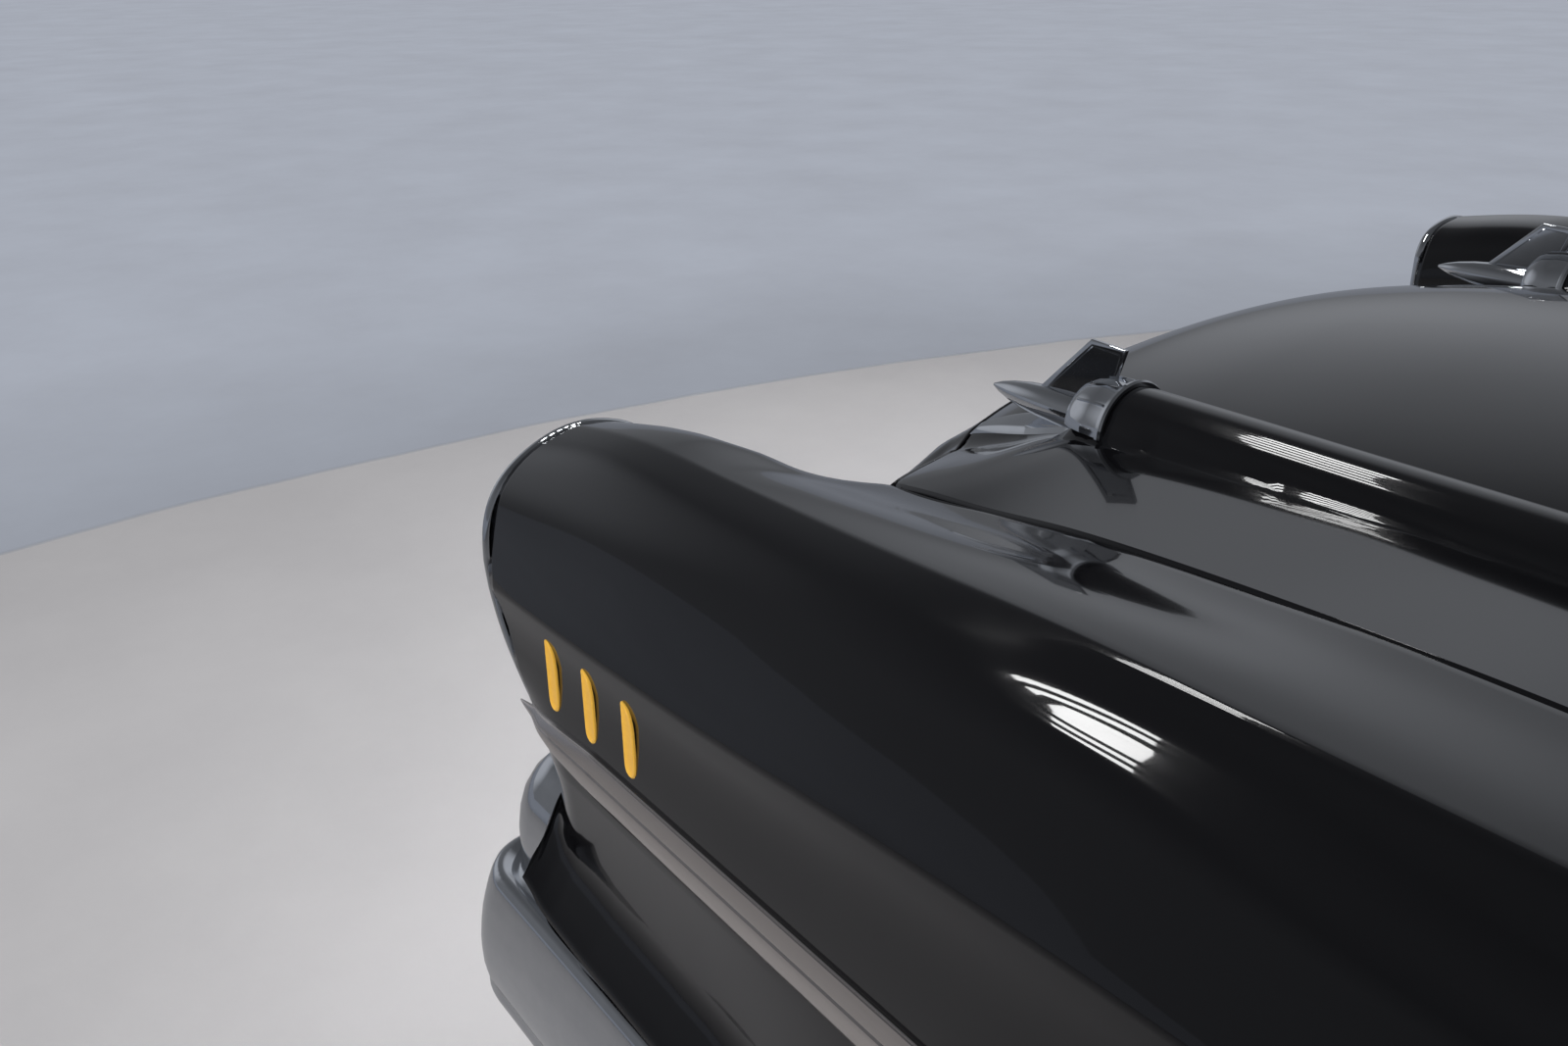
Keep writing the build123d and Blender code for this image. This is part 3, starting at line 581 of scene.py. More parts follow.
# Crest, then four points down to the crease: (y, height) at each station.
TOP = (
    ((801, 1006), (815, 985), (836, 962), (866, 954), (889, 922), (907, 886)),
    ((801, 1005), (815, 984), (836, 962), (866, 954), (889, 920), (907, 880)),
    ((801, 1003.5), (816, 983), (836, 964), (866, 955), (888, 918), (908, 874)),
    ((800, 1001), (816.5, 983.5), (836, 972.5), (862, 959), (886, 918), (908, 867)),
    ((798, 998), (818, 984), (836.5, 973), (857, 962.5), (883, 921), (908, 858)),
    ((798, 993), (822, 984), (842, 972), (861, 952), (884, 912), (908, 847)),
    ((797, 985), (822, 979), (843, 967), (863, 943), (884, 896), (907, 831)),
    ((797, 979.5), (822, 973), (845, 960), (869, 932), (887, 886), (907, 820)),
    ((796.5, 971.5), (822, 964), (846, 951), (871, 924), (889, 880), (907, 813)),
    ((796, 951), (820, 945), (846, 935), (873, 915), (893, 876), (906, 808)),
)
# Drop and inset from the crest of three points and the edge of the gutter or pod wall.
INNER_STATIONS = (0, 180, 400, 560, 680, 800, 950, 1040, 1103, 1135, 1170, 1203, 1280, 1345,
                  1360)
INNER = (
    ((-32, -0.9), (-69, -2.8), (-105.1, -4.9), (-143, -6)),
    ((-33.5, -0.9), (-72.4, -3.3), (-110.3, -5.8), (-150, -7)),
    ((-35.8, -1), (-77.2, -4.5), (-117.6, -8.1), (-160, -9.5)),
    ((-37.1, -1.1), (-80.1, -5.8), (-122.1, -10.9), (-166, -12.5)),
    ((-38, -1.7), (-82, -9.3), (-125, -17.5), (-170, -20)),
    ((-39.8, -2.6), (-85.9, -12.5), (-130.9, -23.1), (-178, -26.8)),
    ((-42, -5.5), (-90.7, -20.1), (-138.2, -35.3), (-188, -42.5)),
    ((-43.1, -8.3), (-93.1, -25.6), (-141.9, -43.6), (-193, -54)),
    ((-44.3, -10.3), (-95.5, -29), (-145.6, -48.2), (-198, -61)),
    ((-42, -8), (-88, -22), (-125, -40), (-180, -64)),
    ((-41, -5.5), (-82, -16), (-109, -35), (-136, -72)),
    ((-39, -3.5), (-76, -13.5), (-94, -38), (-101, -82)),
    ((-39, -3.5), (-75, -15), (-93, -40), (-100, -80)),
    ((-37, -4), (-70, -17), (-89, -42), (-96, -80)),
    ((-36, -4), (-68, -16), (-87, -40), (-95, -78)),
)
# Height of the foot of the gutter or of the pod's inner wall.
FOOT = ((0, 955), (180, 953), (545, 945), (925, 902), (1103, 872), (1203, 720), (1360, 694))
LAMP_Y, LAMP_Z, LAMP_R = 797.0, 824.0, 92.0     # centre and radius of the lamp's opening
FENDER_FRONT = 1360.0
# Ahead of the arch the lowest 66 mm of the side flare out by 39 mm, over a hem whose height is
# given by x. Behind the arch the outward place of the side is given by height.
BELT_Z = 655.0
WAIST_Y, FLARE_OUT, FLARE_TALL = 901.0, 39.0, 66.0
FRONT_HEM = ((828, 484), (1028, 488), (1150, 494), (1225, 501), (1250, 508), (1272, 522))
REAR_SIDE = ((655, 906), (560, 910), (420, 912), (300, 911), (238, 909))
ARCH_X, ARCH_Z, ARCH_R = 545.0, 300.0, 350.0
LIP_SWELL, LIP_REACH = 9.0, 45.0    # the arch's edge stands out by 9 mm over its last 45 mm
# Front edge of the skin by height, which sweeps back below the lamp.
FRONT_EDGE = ((484, 1262), (503, 1268), (525, 1272), (545, 1275), (570, 1281), (600, 1285),
              (655, 1286), (680, 1291), (700, 1298), (721, 1310), (756, 1331), (780, 1343),
              (803, 1352), (830, 1359), (860, 1360), (960, 1360))
# Ahead of CURL_X the side turns in towards the lamp: inset 70 mm further on, by height.
CURL_X, CURL = 1215.0, ((500, 0), (545, 0), (570, 5), (592, 19), (612, 22), (655, 14), (690, 6),
                        (730, 0))


def curl(x, z):
    inset_by = along(CURL, np.clip(z, CURL[0][0], CURL[-1][0]))
    return inset_by * (np.maximum(x - CURL_X, 0) / 70) ** 2


def side_y(x, z):
    """Outward place of the fender's side below the belt."""
    over = z - between(FRONT_HEM, x)
    ahead = (WAIST_Y + 5 * np.clip((z - 560) / (BELT_Z - 560), 0, 1) ** 2
             + FLARE_OUT * np.clip(1 - over / FLARE_TALL, 0, 1) ** 2 - curl(x, z))
    behind = between(REAR_SIDE[::-1], z)
    share = step(700, 1000, x)
    edge = np.hypot(x - ARCH_X, np.maximum(z - ARCH_Z, 0)) - ARCH_R
    swell = LIP_SWELL * np.clip(1 - edge / LIP_REACH, 0, 1) ** 2
    return ahead * share + (behind + swell) * (1 - share)


def hem_z(x):
    """Height of the side's lower edge: sill, wheel arch, then the flared front."""
    under = ARCH_R ** 2 - (x - ARCH_X) ** 2
    arch = ARCH_Z + np.sqrt(np.maximum(under, 0))
    front = between(FRONT_HEM, x)
    return np.where(x < 200, 238, np.where(x > 828, np.maximum(arch, front), arch))


# %% [markdown]
# With the sections known, the skin is a single grid: rows run from the gutter over the crest
# and down to the hem, columns run from the cowl to the lamp. Columns crowd together behind
# the wheel arch, where the hem climbs steeply. Operators then add what a press and a folding
# machine add: the gutter's drop, small radii along crest and crease, and turned edges.

# %% Fender skin
PARTS = (16, 16, 8, 32)             # rows of inner slope, top, belt and lower side
CREST_ROW, CREASE_ROW = PARTS[0], PARTS[0] + PARTS[1]
BELT_ROW, HEM_ROW = CREASE_ROW + PARTS[2], sum(PARTS)
COLUMN_X = np.concatenate([np.linspace(0, 195, 20), (196, 199, 204, 212, 222),
                           np.linspace(232, FENDER_FRONT, 142)])
SWEEP_START = 1000.0                # behind this, the columns stand straight across the car


def fender_surface(u, v):
    """Places of the outer skin for rows from the gutter's edge to the hem."""
    row = np.rint(v * HEM_ROW).astype(int)
    base_x = np.interp(u, np.linspace(0, 1, len(COLUMN_X)), COLUMN_X)
    top, inner = np.array(TOP, float), np.array(INNER, float)

    def at_height(z):
        ahead = np.maximum(base_x - SWEEP_START, 0) / (FENDER_FRONT - SWEEP_START)
        return np.minimum(base_x, SWEEP_START) + ahead * (between(FRONT_EDGE, z) - SWEEP_START)

    def top_keys(x):
        return np.einsum("ps,skc->pkc", spline_weights(STATIONS, x), top)

    keys = top_keys(base_x)
    crest = keys[:, 0]
    out = np.zeros((len(u), 3))
    out[:, 0] = base_x
    # Inner slope, from the edge (row 0) up to the crest.
    drops = np.stack([np.stack([glide(INNER_STATIONS, inner[:, k, c], base_x)
                                for c in range(2)], 1) for k in range(4)], 1)
    chain = np.concatenate([crest[:, None], crest[:, None] + drops], 1)
    inner_weights = spline_weights((0, 38, 82, 125, 170),
                                   170 * (1 - np.clip(row / CREST_ROW, 0, 1)))
    slope = np.einsum("pk,pkc->pc", inner_weights, chain)
    pick = row < CREST_ROW
    out[pick, 1:] = slope[pick]
    # Top, from the crest down to the crease, then again at the swept x of each height.
    share = np.clip((row - CREST_ROW) / PARTS[1], 0, 1)
    top_weights = spline_weights((0, 23, 52, 84, 126, 166), 166 * share)
    pick = (row >= CREST_ROW) & (row <= CREASE_ROW)
    for _ in range(2):
        yz = np.einsum("pk,pkc->pc", top_weights, keys)
        x = at_height(yz[:, 1])
        keys = top_keys(x)
    yz = np.einsum("pk,pkc->pc", top_weights, keys)
    out[pick, 0], out[pick, 1:] = x[pick], yz[pick]
    # Belt, from the crease to a level line below the moulding.
    crease = keys[:, -1]
    down = np.clip((row - CREASE_ROW) / PARTS[2], 0, 1)
    z = crease[:, 1] + down * (BELT_Z - crease[:, 1])
    x = at_height(z)
    belt_weights = spline_weights((0, 0.13, 0.6, 1), down)
    belt_y = np.stack([crease[:, 0], crease[:, 0] - 4, np.full(len(u), 904.0),
                       np.full(len(u), 906.0)], 1)
    y = (belt_weights * belt_y).sum(1)
    pick = (row > CREASE_ROW) & (row <= BELT_ROW)
    out[pick] = np.stack([x, y - curl(x, z), z], 1)[pick]
    # Lower side, from the belt to the hem.
    down = np.clip((row - BELT_ROW) / PARTS[3], 0, 1)
    for _ in range(2):
        z = BELT_Z + down * (hem_z(x) - BELT_Z)
        x = at_height(z)
    pick = row > BELT_ROW
    out[pick] = np.stack([x, side_y(x, z), z], 1)[pick]
    return out


def make_fender():
    bm = grid(len(COLUMN_X) - 1, HEM_ROW, fender_surface)
    bm.verts.index_update()
    row = np.arange(len(bm.verts)) // len(COLUMN_X)
    crisp = [e for e in bm.edges
             if row[e.verts[0].index] == row[e.verts[1].index]
             and row[e.verts[0].index] in (CREST_ROW, CREASE_ROW)]
    gutter = border(bm, lambda v: row[v.index] == 0)
    hem = border(bm, lambda v: row[v.index] == HEM_ROW)
    front = [e for e in bm.edges if e.is_boundary and all(v.co.x > 1200 for v in e.verts)
             and row[e.verts[0].index] != row[e.verts[1].index]]
    fold(bm, gutter, lambda co: Vector((co.x, co.y, between(FOOT, co.x))))
    fold(bm, fold(bm, hem, (0, -3, -4)), (0, -12, 0))
    fold(bm, front, lambda co: Vector((co.x - 3, co.y + (LAMP_Y - co.y) * 0.09,
                                       co.z + (LAMP_Z - co.z) * 0.07)))
    round_edges(bm, gutter, 3.5)
    round_edges(bm, crisp, 4.0)
    return bm


pair("fender_skin", make_fender, "black_enamel", "fender", thickness=SHEET)

# %% [markdown]
# At the rear the fender has an inward flange with two bolt holes, which is where the whole
# front end meets the cowl. The flange is cut from sheet: an outline with holes, filled with
# triangles. At the front, behind the bezel, a dished wall closes the pod round the lamp cup.

# %% Cowl flange and pod wall
def ring(a, b, radius, count=20, start=0, length=None):
    """Points on a circle of count steps, or on a length of it from a step on."""
    turns = [2 * pi * i / count for i in range(start, start + (length or count))]
    return [(a + radius * cos(t), b + radius * sin(t)) for t in turns]


def sheet(outline, holes, stand):
    """Flat sheet with holes; stand(a, b) gives the place of a point of the outlines."""
    bm = bmesh.new()
    for loop in [outline, *holes]:
        verts = [bm.verts.new(stand(a, b)) for a, b in loop]
        for pair_of in zip(verts, verts[1:] + verts[:1]):
            bm.edges.new(pair_of)
    bmesh.ops.triangle_fill(bm, use_beauty=True, edges=bm.edges[:])
    return bm


def pod_wall(u, v):
    y, z = looped(POD_OUTLINE).T - [[LAMP_Y], [LAMP_Z]]
    turns = np.unwrap(np.arctan2(z, y))
    turn = turns[0] + u * 2 * pi
    reach = np.interp(turn, turns, np.hypot(y, z) - 5)
    radius = LAMP_R + (reach - LAMP_R) * v
    y, z = LAMP_Y + radius * np.cos(turn), LAMP_Z + radius * np.sin(turn)
    edge_x = np.minimum(between(FRONT_EDGE, z) - 16, 1302)
    return np.stack([1304 + (edge_x - 1304) * v, y, z], 1)


POD_OUTLINE = ((903, 803), (901, 840), (891, 880), (872, 912), (846, 934), (796, 948),
               (748, 942), (720, 928), (705, 904), (703, 880), (702, 830), (702, 760),
               (704, 715), (708, 702), (724, 695), (780, 685), (850, 675), (875, 678),
               (890, 690), (898, 713), (902, 756))
FLANGE = ((822, 262), (903, 262), (903, 870), (895, 878), (822, 878))


def make_fender_walls():
    flange = sheet(FLANGE, [ring(850, 480, 5.5), ring(850, 860, 5.5)],
                   lambda y, z: (1.5, y, z))
    return merge(flange, closed(grid(96, 6, pod_wall)))


pair("fender_walls", make_fender_walls, "underside_paint", thickness=1.6)

# %% [markdown]
# The hood is a wide, softly crowned panel with a raised rocket-shaped ridge near each side.
# Inboard of a ridge the crown runs on, outboard the metal drops into a valley and rises again
# to the seam. The height is therefore given by four smooth profiles, crown, ridge, valley and
# edge, that are blended across the car, which keeps one grid and no joints.

# %% Hood heights
CROWN = ((0, 1062), (250, 1057.5), (500, 1050), (800, 1036), (962, 1020), (1050, 1006),
         (1130, 987), (1200, 958), (1250, 925), (1275, 885), (1300, 846))
CROWN_FALL = 3.3e-4                 # height lost per square millimetre from the centre
EDGE_Y = ((0, 654), (180, 647.5), (545, 631.5), (925, 607), (1103, 595.5))
EDGE_Z = ((0, 1000), (462, 992.5), (588, 986), (664, 980), (770, 970), (860, 959),
          (970, 940), (1103, 919), (1200, 880), (1300, 846))
VALLEY_Z = ((0, 992), (300, 986), (500, 980), (600, 979), (695, 978), (784, 975), (885, 970),
            (950, 965), (1000, 960), (1040, 950), (1100, 925), (1200, 888), (1300, 846))
RIDGE_Y, RIDGE_R = 408.0, 43.0
RIDGE_Z = ((0, 1015), (250, 1012), (500, 1010), (700, 1009), (985, 1007), (1010, 1003))
RIDGE_END = (985.0, 1050.0)         # the ridge sinks into the hood below the ornament


def hood_z(x, y):
    """Height of the hood's outer skin."""
    side = np.abs(y)
    crown = along(CROWN, x) - CROWN_FALL * side ** 2
    edge_y = along(EDGE_Y, np.minimum(x, 1103))
    out = np.clip((side - RIDGE_Y - RIDGE_R) / np.maximum(edge_y - RIDGE_Y - RIDGE_R, 1), 0, 1.3)
    outboard = along(VALLEY_Z, x) + (along(EDGE_Z, x) - along(VALLEY_Z, x)) * out ** 1.2
    skin = crown + (outboard - crown) * step(RIDGE_Y - 8, RIDGE_Y + RIDGE_R, side)
    ridge_z = along(RIDGE_Z, np.minimum(x, 1010))
    round_part = ridge_z - RIDGE_R + np.sqrt(np.maximum(RIDGE_R ** 2 - (side - RIDGE_Y) ** 2, 0))
    fade = 1 - step(*RIDGE_END, x)
    lift = np.maximum(round_part - skin, 0) * fade * (np.abs(side - RIDGE_Y) < RIDGE_R)
    return skin + lift


# %% [markdown]
# In plan the hood ends in a shallow arc that bows forward between the lamps. The columns of the
# grid run from the cowl to that arc, so the front row of vertices lies exactly on the edge.

# %% Hood skin
ARC_X, ARC_R = 116.3, 1151.7
HOOD_REAR = 3.0
HOOD_ACROSS = np.concatenate([np.linspace(0, 350, 36), np.linspace(356, 470, 39),
                              np.linspace(478, 654, 23)])


def hood_surface(u, v):
    share = np.interp(np.abs(2 * v - 1), np.linspace(0, 1, len(HOOD_ACROSS)),
                      HOOD_ACROSS / HOOD_ACROSS[-1])
    y = share * 600.0
    for _ in range(4):
        front = np.where(y > 594, 1103 + (594 - y) * 0.6, ARC_X + np.sqrt(ARC_R ** 2 - y * y))
        x = HOOD_REAR + (front - HOOD_REAR) * u
        y = share * along(EDGE_Y, np.minimum(x, 1103))
    y = y * np.sign(v - 0.5)
    return np.stack([x, y, hood_z(x, y)], 1)


def make_hood():
    bm = grid(150, 2 * len(HOOD_ACROSS) - 2, hood_surface)
    edges = border(bm, lambda v: True)
    fold(bm, edges, (0, 0, -16))
    round_edges(bm, edges, 2.5)
    return bm


finish("hood_skin", make_hood(), "black_enamel", "hood", "hood", thickness=SHEET)

# %% [markdown]
# Under the skin lies a pressed frame with windows, spot-welded to the hood's edge flange. It
# repeats the skin's shape 12 mm below, so the same height function serves: one grid, with the
# faces inside the windows deleted and the rims of the windows turned down.

# %% Hood bracing
WINDOWS = [(x0, x1, 40.0, wide) for x0, x1, wide in
           ((110, 330, 500), (390, 610, 490), (670, 880, 470), (940, 1060, 440))]
BRACE_DROP, BRACE_INSET = 12.0, 0.955


def brace_surface(u, v):
    places = hood_surface(u, v)
    places[:, 0] = 33 + (places[:, 0] - HOOD_REAR) * 0.952
    places[:, 1] *= BRACE_INSET
    places[:, 2] = hood_z(places[:, 0], places[:, 1]) - BRACE_DROP
    return places


def make_bracing():
    bm = grid(120, 130, brace_surface)
    inside = [f for f in bm.faces if any(
        x0 < f.calc_center_median().x < x1 and low < abs(f.calc_center_median().y) < high
        for x0, x1, low, high in WINDOWS)]
    delete_faces(bm, inside)
    rims = border(bm, lambda v: True)
    fold(bm, rims, (0, 0, -9))
    round_edges(bm, rims, 2.0, 2)
    return bm


finish("hood_frame", make_bracing(), "underside_paint", "hood_bracing", "hood",
       thickness=SHEET)

# %% [markdown]
# Ahead of the hood a narrow header panel closes the gap to the grille. It falls away steeply
# from the seam, so that it hides behind the hood's lip from the driver's side.

# %% Header panel
HEADER_GAP, HEADER_FRONT_X, HEADER_FRONT_Z = 5.0, 1296.0, 806.0
# Side edge by x, beside the inner walls of the lamp pods, and how fast the panel falls, by y.
HEADER_SIDE = ((1103, 592), (1120, 601), (1135, 611), (1170, 656), (1203, 692), (1296, 696))
HEADER_FALL = ((0, 0.8), (410, 0.85), (465, 1.35), (515, 1.9), (600, 2.1), (700, 2.1))


def header_surface(u, v):
    """u runs across the car, v from the seam to the grille."""
    side = 2 * u - 1
    corner_x, corner_y = HEADER_SIDE[0]
    seam_y = side * corner_y
    seam_x = ARC_X + np.sqrt(ARC_R ** 2 - seam_y ** 2) + HEADER_GAP
    seam_z = hood_z(seam_x - HEADER_GAP, seam_y) - 1.0
    x = seam_x + (HEADER_FRONT_X - seam_x) * v
    y = side * between(HEADER_SIDE, corner_x + (HEADER_FRONT_X - corner_x) * v)
    fall = between(HEADER_FALL, np.abs(y))
    z = HEADER_FRONT_Z + (seam_z - HEADER_FRONT_Z) * (1 - v) ** fall
    return np.stack([x, y, z], 1)


def make_header():
    bm = grid(120, 30, header_surface)
    seam = border(bm, lambda v: v.co.x < ARC_X + HEADER_GAP + 1
                  + sqrt(ARC_R ** 2 - min(abs(v.co.y), 590) ** 2))
    fold(bm, seam, (-2, 0, -14))
    round_edges(bm, seam, 2.5)
    return bm


finish("header_skin", make_header(), "black_enamel", "header_panel", thickness=SHEET)

# %% [markdown]
# Small parts start as flat stock: an outline is cut, raised and its edges are rounded. The
# helper makes the outline from a circle's vertices, so that it is one clean polygon.

# %% Plates and blocks
def slab(outline, move):
    """Plate from a closed outline of 3-D points, raised by a move."""
    bm = bmesh.new()
    bmesh.ops.create_circle(bm, cap_ends=True, segments=len(outline), radius=1.0)
    for vertex, point in zip(bm.verts, outline):
        vertex.co = point
    raise_faces(bm, move)
    bmesh.ops.recalc_face_normals(bm, faces=bm.faces)
    return bm


def block(x, y, z, rounding=0.0):
    """Box between pairs of limits, with rounded edges where asked."""
    bm = slab([(x[0], y[0], z[0]), (x[0], y[1], z[0]), (x[1], y[1], z[0]), (x[1], y[0], z[0])],
              (0, 0, z[1] - z[0]))
    if rounding:
        round_edges(bm, bm.edges[:], rounding, 3)
    return bm


# %% [markdown]
# Three gold blades sit on each fender behind the lamp. Each is a die-cast escutcheon with a
# straight leading edge that rises to a point, a rounded tail edge, a raised rim and a channel
# pressed into its face. Two tangs behind it pass through the skin and hold it down.

# %% Fender louvres
LOUVRES = (1233.0, 1162.0, 1091.0)
LOUVRE_Z, LOUVRE_Y = 758.0, 902.7
BLADE = ((9, 37), (9, 33), (9, 20), (9, 0), (9, -22), (8.4, -29), (6.2, -33.5), (2.2, -36),
         (-2.2, -36), (-6.2, -33.5), (-8.4, -29), (-9, -22), (-9, 0), (-8.7, 12), (-7.4, 21),
         (-4.8, 28), (-1.1, 33), (3.4, 36), (7.5, 37.4))
# Rows from the skin over the rim and down into the channel: share of the way to the blade's
# middle line, and height above the skin.
BLADE_ROWS = ((0.0, -0.4), (0.0, 1.2), (0.05, 2.0), (0.12, 2.5), (0.2, 2.4), (0.3, 1.6),
              (0.4, 1.1), (0.55, 0.9), (1.0, 0.9))
BLADE_LINE = (-24.0, 24.0)          # the middle line's two ends


def blade_surface(x0):
    """Surface function of the blade that stands at x0."""
    def surface(u, v):
        around = looped(BLADE).T
        x, z = (np.interp(u, np.linspace(0, 1, len(c)), c) for c in around)
        share, out = picked(BLADE_ROWS, v)
        middle = np.clip(z, *BLADE_LINE)
        x, z = x * (1 - share), z + (middle - z) * share
        return np.stack([x0 + x, LOUVRE_Y + out, LOUVRE_Z + z], 1)
    return surface


def make_louvres():
    return merge(*[closed(grid(2 * len(BLADE), len(BLADE_ROWS) - 1, blade_surface(x)))
                   for x in LOUVRES])


pair("gold_louvres", make_louvres, "gold_trim", "fender_louvres", angle=0.6)

# %% [markdown]
# The side moulding is a strip of polished stainless steel, rolled to a section with a narrow
# bead on top, a sloping upper face, a fine groove and a broader lower face. Toward the lamp it
# narrows to a sharp tip. The section is laid along the fender and scaled down over the tip.

# %% Side moulding
MOULD_TOP = ((0, 714.5), (700, 714), (1160, 712), (1240, 706), (1295, 697), (1324, 691))
MOULD_LOW = ((0, 668), (1000, 668), (1150, 670), (1230, 677), (1290, 686), (1324, 690))
MOULD_SECTION = ((0.0, 1.0), (2.6, 1.0), (3.4, 0.985), (3.2, 0.955), (4.2, 0.94), (8.0, 0.64),
                 (8.2, 0.60), (7.0, 0.575), (7.0, 0.555), (8.6, 0.52), (9.2, 0.47), (9.0, 0.16),
                 (8.2, 0.05), (6.6, 0.0), (0.0, 0.0))
MOULD_REAR, MOULD_TIP = 8.0, 1324.0


def moulding_surface(u, v):
    x = MOULD_REAR + (MOULD_TIP - MOULD_REAR) * (1 - (1 - u) ** 1.6)
    low, high = between(MOULD_LOW, x), between(MOULD_TOP, x)
    out, share = picked(MOULD_SECTION, v)
    size = 0.12 + 0.88 * np.clip((MOULD_TIP - x) / 60, 0, 1) ** 0.8
    y = 904.6 - curl(np.minimum(x, 1290), np.full(len(x), 691.0)) + out * size
    return np.stack([x, y, low + share * (high - low)], 1)


def make_moulding():
    bm = grid(160, len(MOULD_SECTION) - 1, moulding_surface)
    ends = (border(bm, lambda v: v.co.x > MOULD_TIP - 0.1)
            + border(bm, lambda v: v.co.x < MOULD_REAR + 0.1))
    bmesh.ops.holes_fill(bm, edges=ends)
    return bm


pair("side_strip", make_moulding, "bright_trim", "side_moulding", angle=0.5)

# %% [markdown]
# The headlamp bezel is a chromed die casting. Its outer rim follows the fender's front edge,
# which sweeps back below the lamp, and stands a few millimetres off it, so that a dark joint
# line shows. From the rim the face dishes inwards to the round opening for the lamp.

# %% Headlamp bezel
RIM = ((905, 803), (904, 840), (896, 884), (876, 915), (846, 936), (796, 951.5), (746, 945),
       (718, 930), (703.5, 905), (702, 888), (701, 830), (701, 760), (701.5, 715), (706, 699),
       (722, 692.5), (780, 682), (850, 671), (876, 674), (892, 688), (899, 712), (903.5, 756))
# Rows from the hidden back of the rim over its nose and down into the dish: inset from the
# rim, step ahead of the fender's edge, and share of the way to the round opening.
RIM_ROWS = ((3.0, -2.0, 0), (0.6, 1.6, 0), (0.0, 4.0, 0), (0.2, 7.5, 0), (1.6, 9.8, 0),
            (4.0, 10.4, 0), (6.0, 9.0, 0), (7.5, 5.5, 0.02), (8.0, 3.5, 0.2), (8.0, 1.0, 0.5),
            (8.0, -2.0, 0.8), (8.0, -3.0, 0.94), (8.0, -3.0, 1.0), (8.0, -8.0, 1.0))


def rim_surface(u, v):
    around = looped(RIM)
    steps = np.concatenate([[0], np.cumsum(np.hypot(*np.diff(around, axis=0).T))])
    y, z = (spline_weights(steps, u * steps[-1]) @ around).T
    turn = np.arctan2(z - LAMP_Z, y - LAMP_Y)
    inward, ahead, share = picked(RIM_ROWS, v)
    reach = np.hypot(y - LAMP_Y, z - LAMP_Z)
    scale = (reach - inward) / reach
    y, z = LAMP_Y + (y - LAMP_Y) * scale, LAMP_Z + (z - LAMP_Z) * scale
    x = between(FRONT_EDGE, z) + ahead
    hole_y, hole_z = LAMP_Y + LAMP_R * np.cos(turn), LAMP_Z + LAMP_R * np.sin(turn)
    flat_x = np.where(share > 0, x + (1350 + ahead - x) * np.sqrt(share), x)
    return np.stack([flat_x, y + (hole_y - y) * share, z + (hole_z - z) * share], 1)


pair("lamp_bezel", lambda: closed(grid(120, len(RIM_ROWS) - 1, rim_surface)), "chrome",
     "headlamp_bezel", thickness=1.0)

# %% [markdown]
# Behind the bezel sits the sealed-beam lamp in its cup. Both are turned shapes, so a profile
# is drawn once and spun round the lamp's axis, just as the glass is pressed in a round mould.

# %% Lamp cup and lens
def spun(profile, y, z, start=0.0, angle=2 * pi, steps=48):
    """Turned shape round a fore-and-aft axis, from (x, radius) points."""
    bm = bmesh.new()
    verts = [bm.verts.new((x, y + r * cos(start), z + r * sin(start))) for x, r in profile]
    edges = [bm.edges.new(pair_of) for pair_of in zip(verts, verts[1:])]
    bmesh.ops.spin(bm, geom=verts + edges, cent=(0, y, z), axis=(1, 0, 0), angle=angle,
                   steps=steps, use_merge=angle > 6)
    return closed(bm)


CUP = ((1208, 0), (1210, 40), (1222, 62), (1270, 84), (1306.5, 91), (1306.5, 95.4),
       (1310, 95.4), (1310, 92), (1317, 92))
LENS_PROFILE = ((1318.4, 0), (1318.4, 88.4), (1322, 89), (1326, 88.4), (1334, 82), (1342, 66),
                (1348, 42), (1350.5, 18), (1351, 0))
pair("lamp_cup", lambda: spun(CUP, LAMP_Y, LAMP_Z), "underside_paint", "headlamp_bucket",
     material=REFLECTOR, thickness=0.8)
pair("sealed_beam", lambda: spun(LENS_PROFILE, LAMP_Y, LAMP_Z), "lamp_glass", "headlamp_lens")

# %% [markdown]
# Each hood ridge ends in a small chrome rocket: a pointed bullet, a ribbed collar that grips
# the ridge, a raked fin on top and a low base plate that follows the hood. It is cast in
# parts and screwed from below. The right one is the mirror image of the left.

# %% Hood ornament
BULLET = ((1166, 0), (1165, 1.6), (1154, 6.0), (1138, 10.4), (1116, 14.4), (1092, 17.0),
          (1066, 18.6), (1040, 19.2), (1020, 19.2))
COLLAR = ((979, 43.6), (978.5, 47.6), (981, 49), (984.5, 48.2), (986, 45.8), (988, 45.2),
          (1004, 44.6), (1022, 41.6), (1032, 37), (1037, 31), (1039, 24), (1039, 18))
SLOTS = (12, 21, 30)                # collar steps that carry a short dark slot
FIN = ((1110, 968), (1037, 1041), (993.5, 1039), (1003, 1010), (1003, 985), (1060, 955))
AXIS_Y, AXIS_Z = 410.0, 964.0
COLLAR_TURN, COLLAR_STEPS = (0.04, pi - 0.08), 56   # from one side over the top to the other


def make_collar():
    bm = spun(COLLAR, AXIS_Y, AXIS_Z, *COLLAR_TURN, COLLAR_STEPS)
    slots = []
    for face in bm.faces:
        middle = face.calc_center_median()
        turn = np.arctan2(middle.z - AXIS_Z, middle.y - AXIS_Y)
        step_at = round((turn - COLLAR_TURN[0]) / COLLAR_TURN[1] * COLLAR_STEPS - 0.5)
        if step_at in SLOTS and 990 < middle.x < 1023:
            slots.append(face)
    bmesh.ops.inset_region(bm, faces=slots, thickness=0.3, depth=-2.6)
    return bm


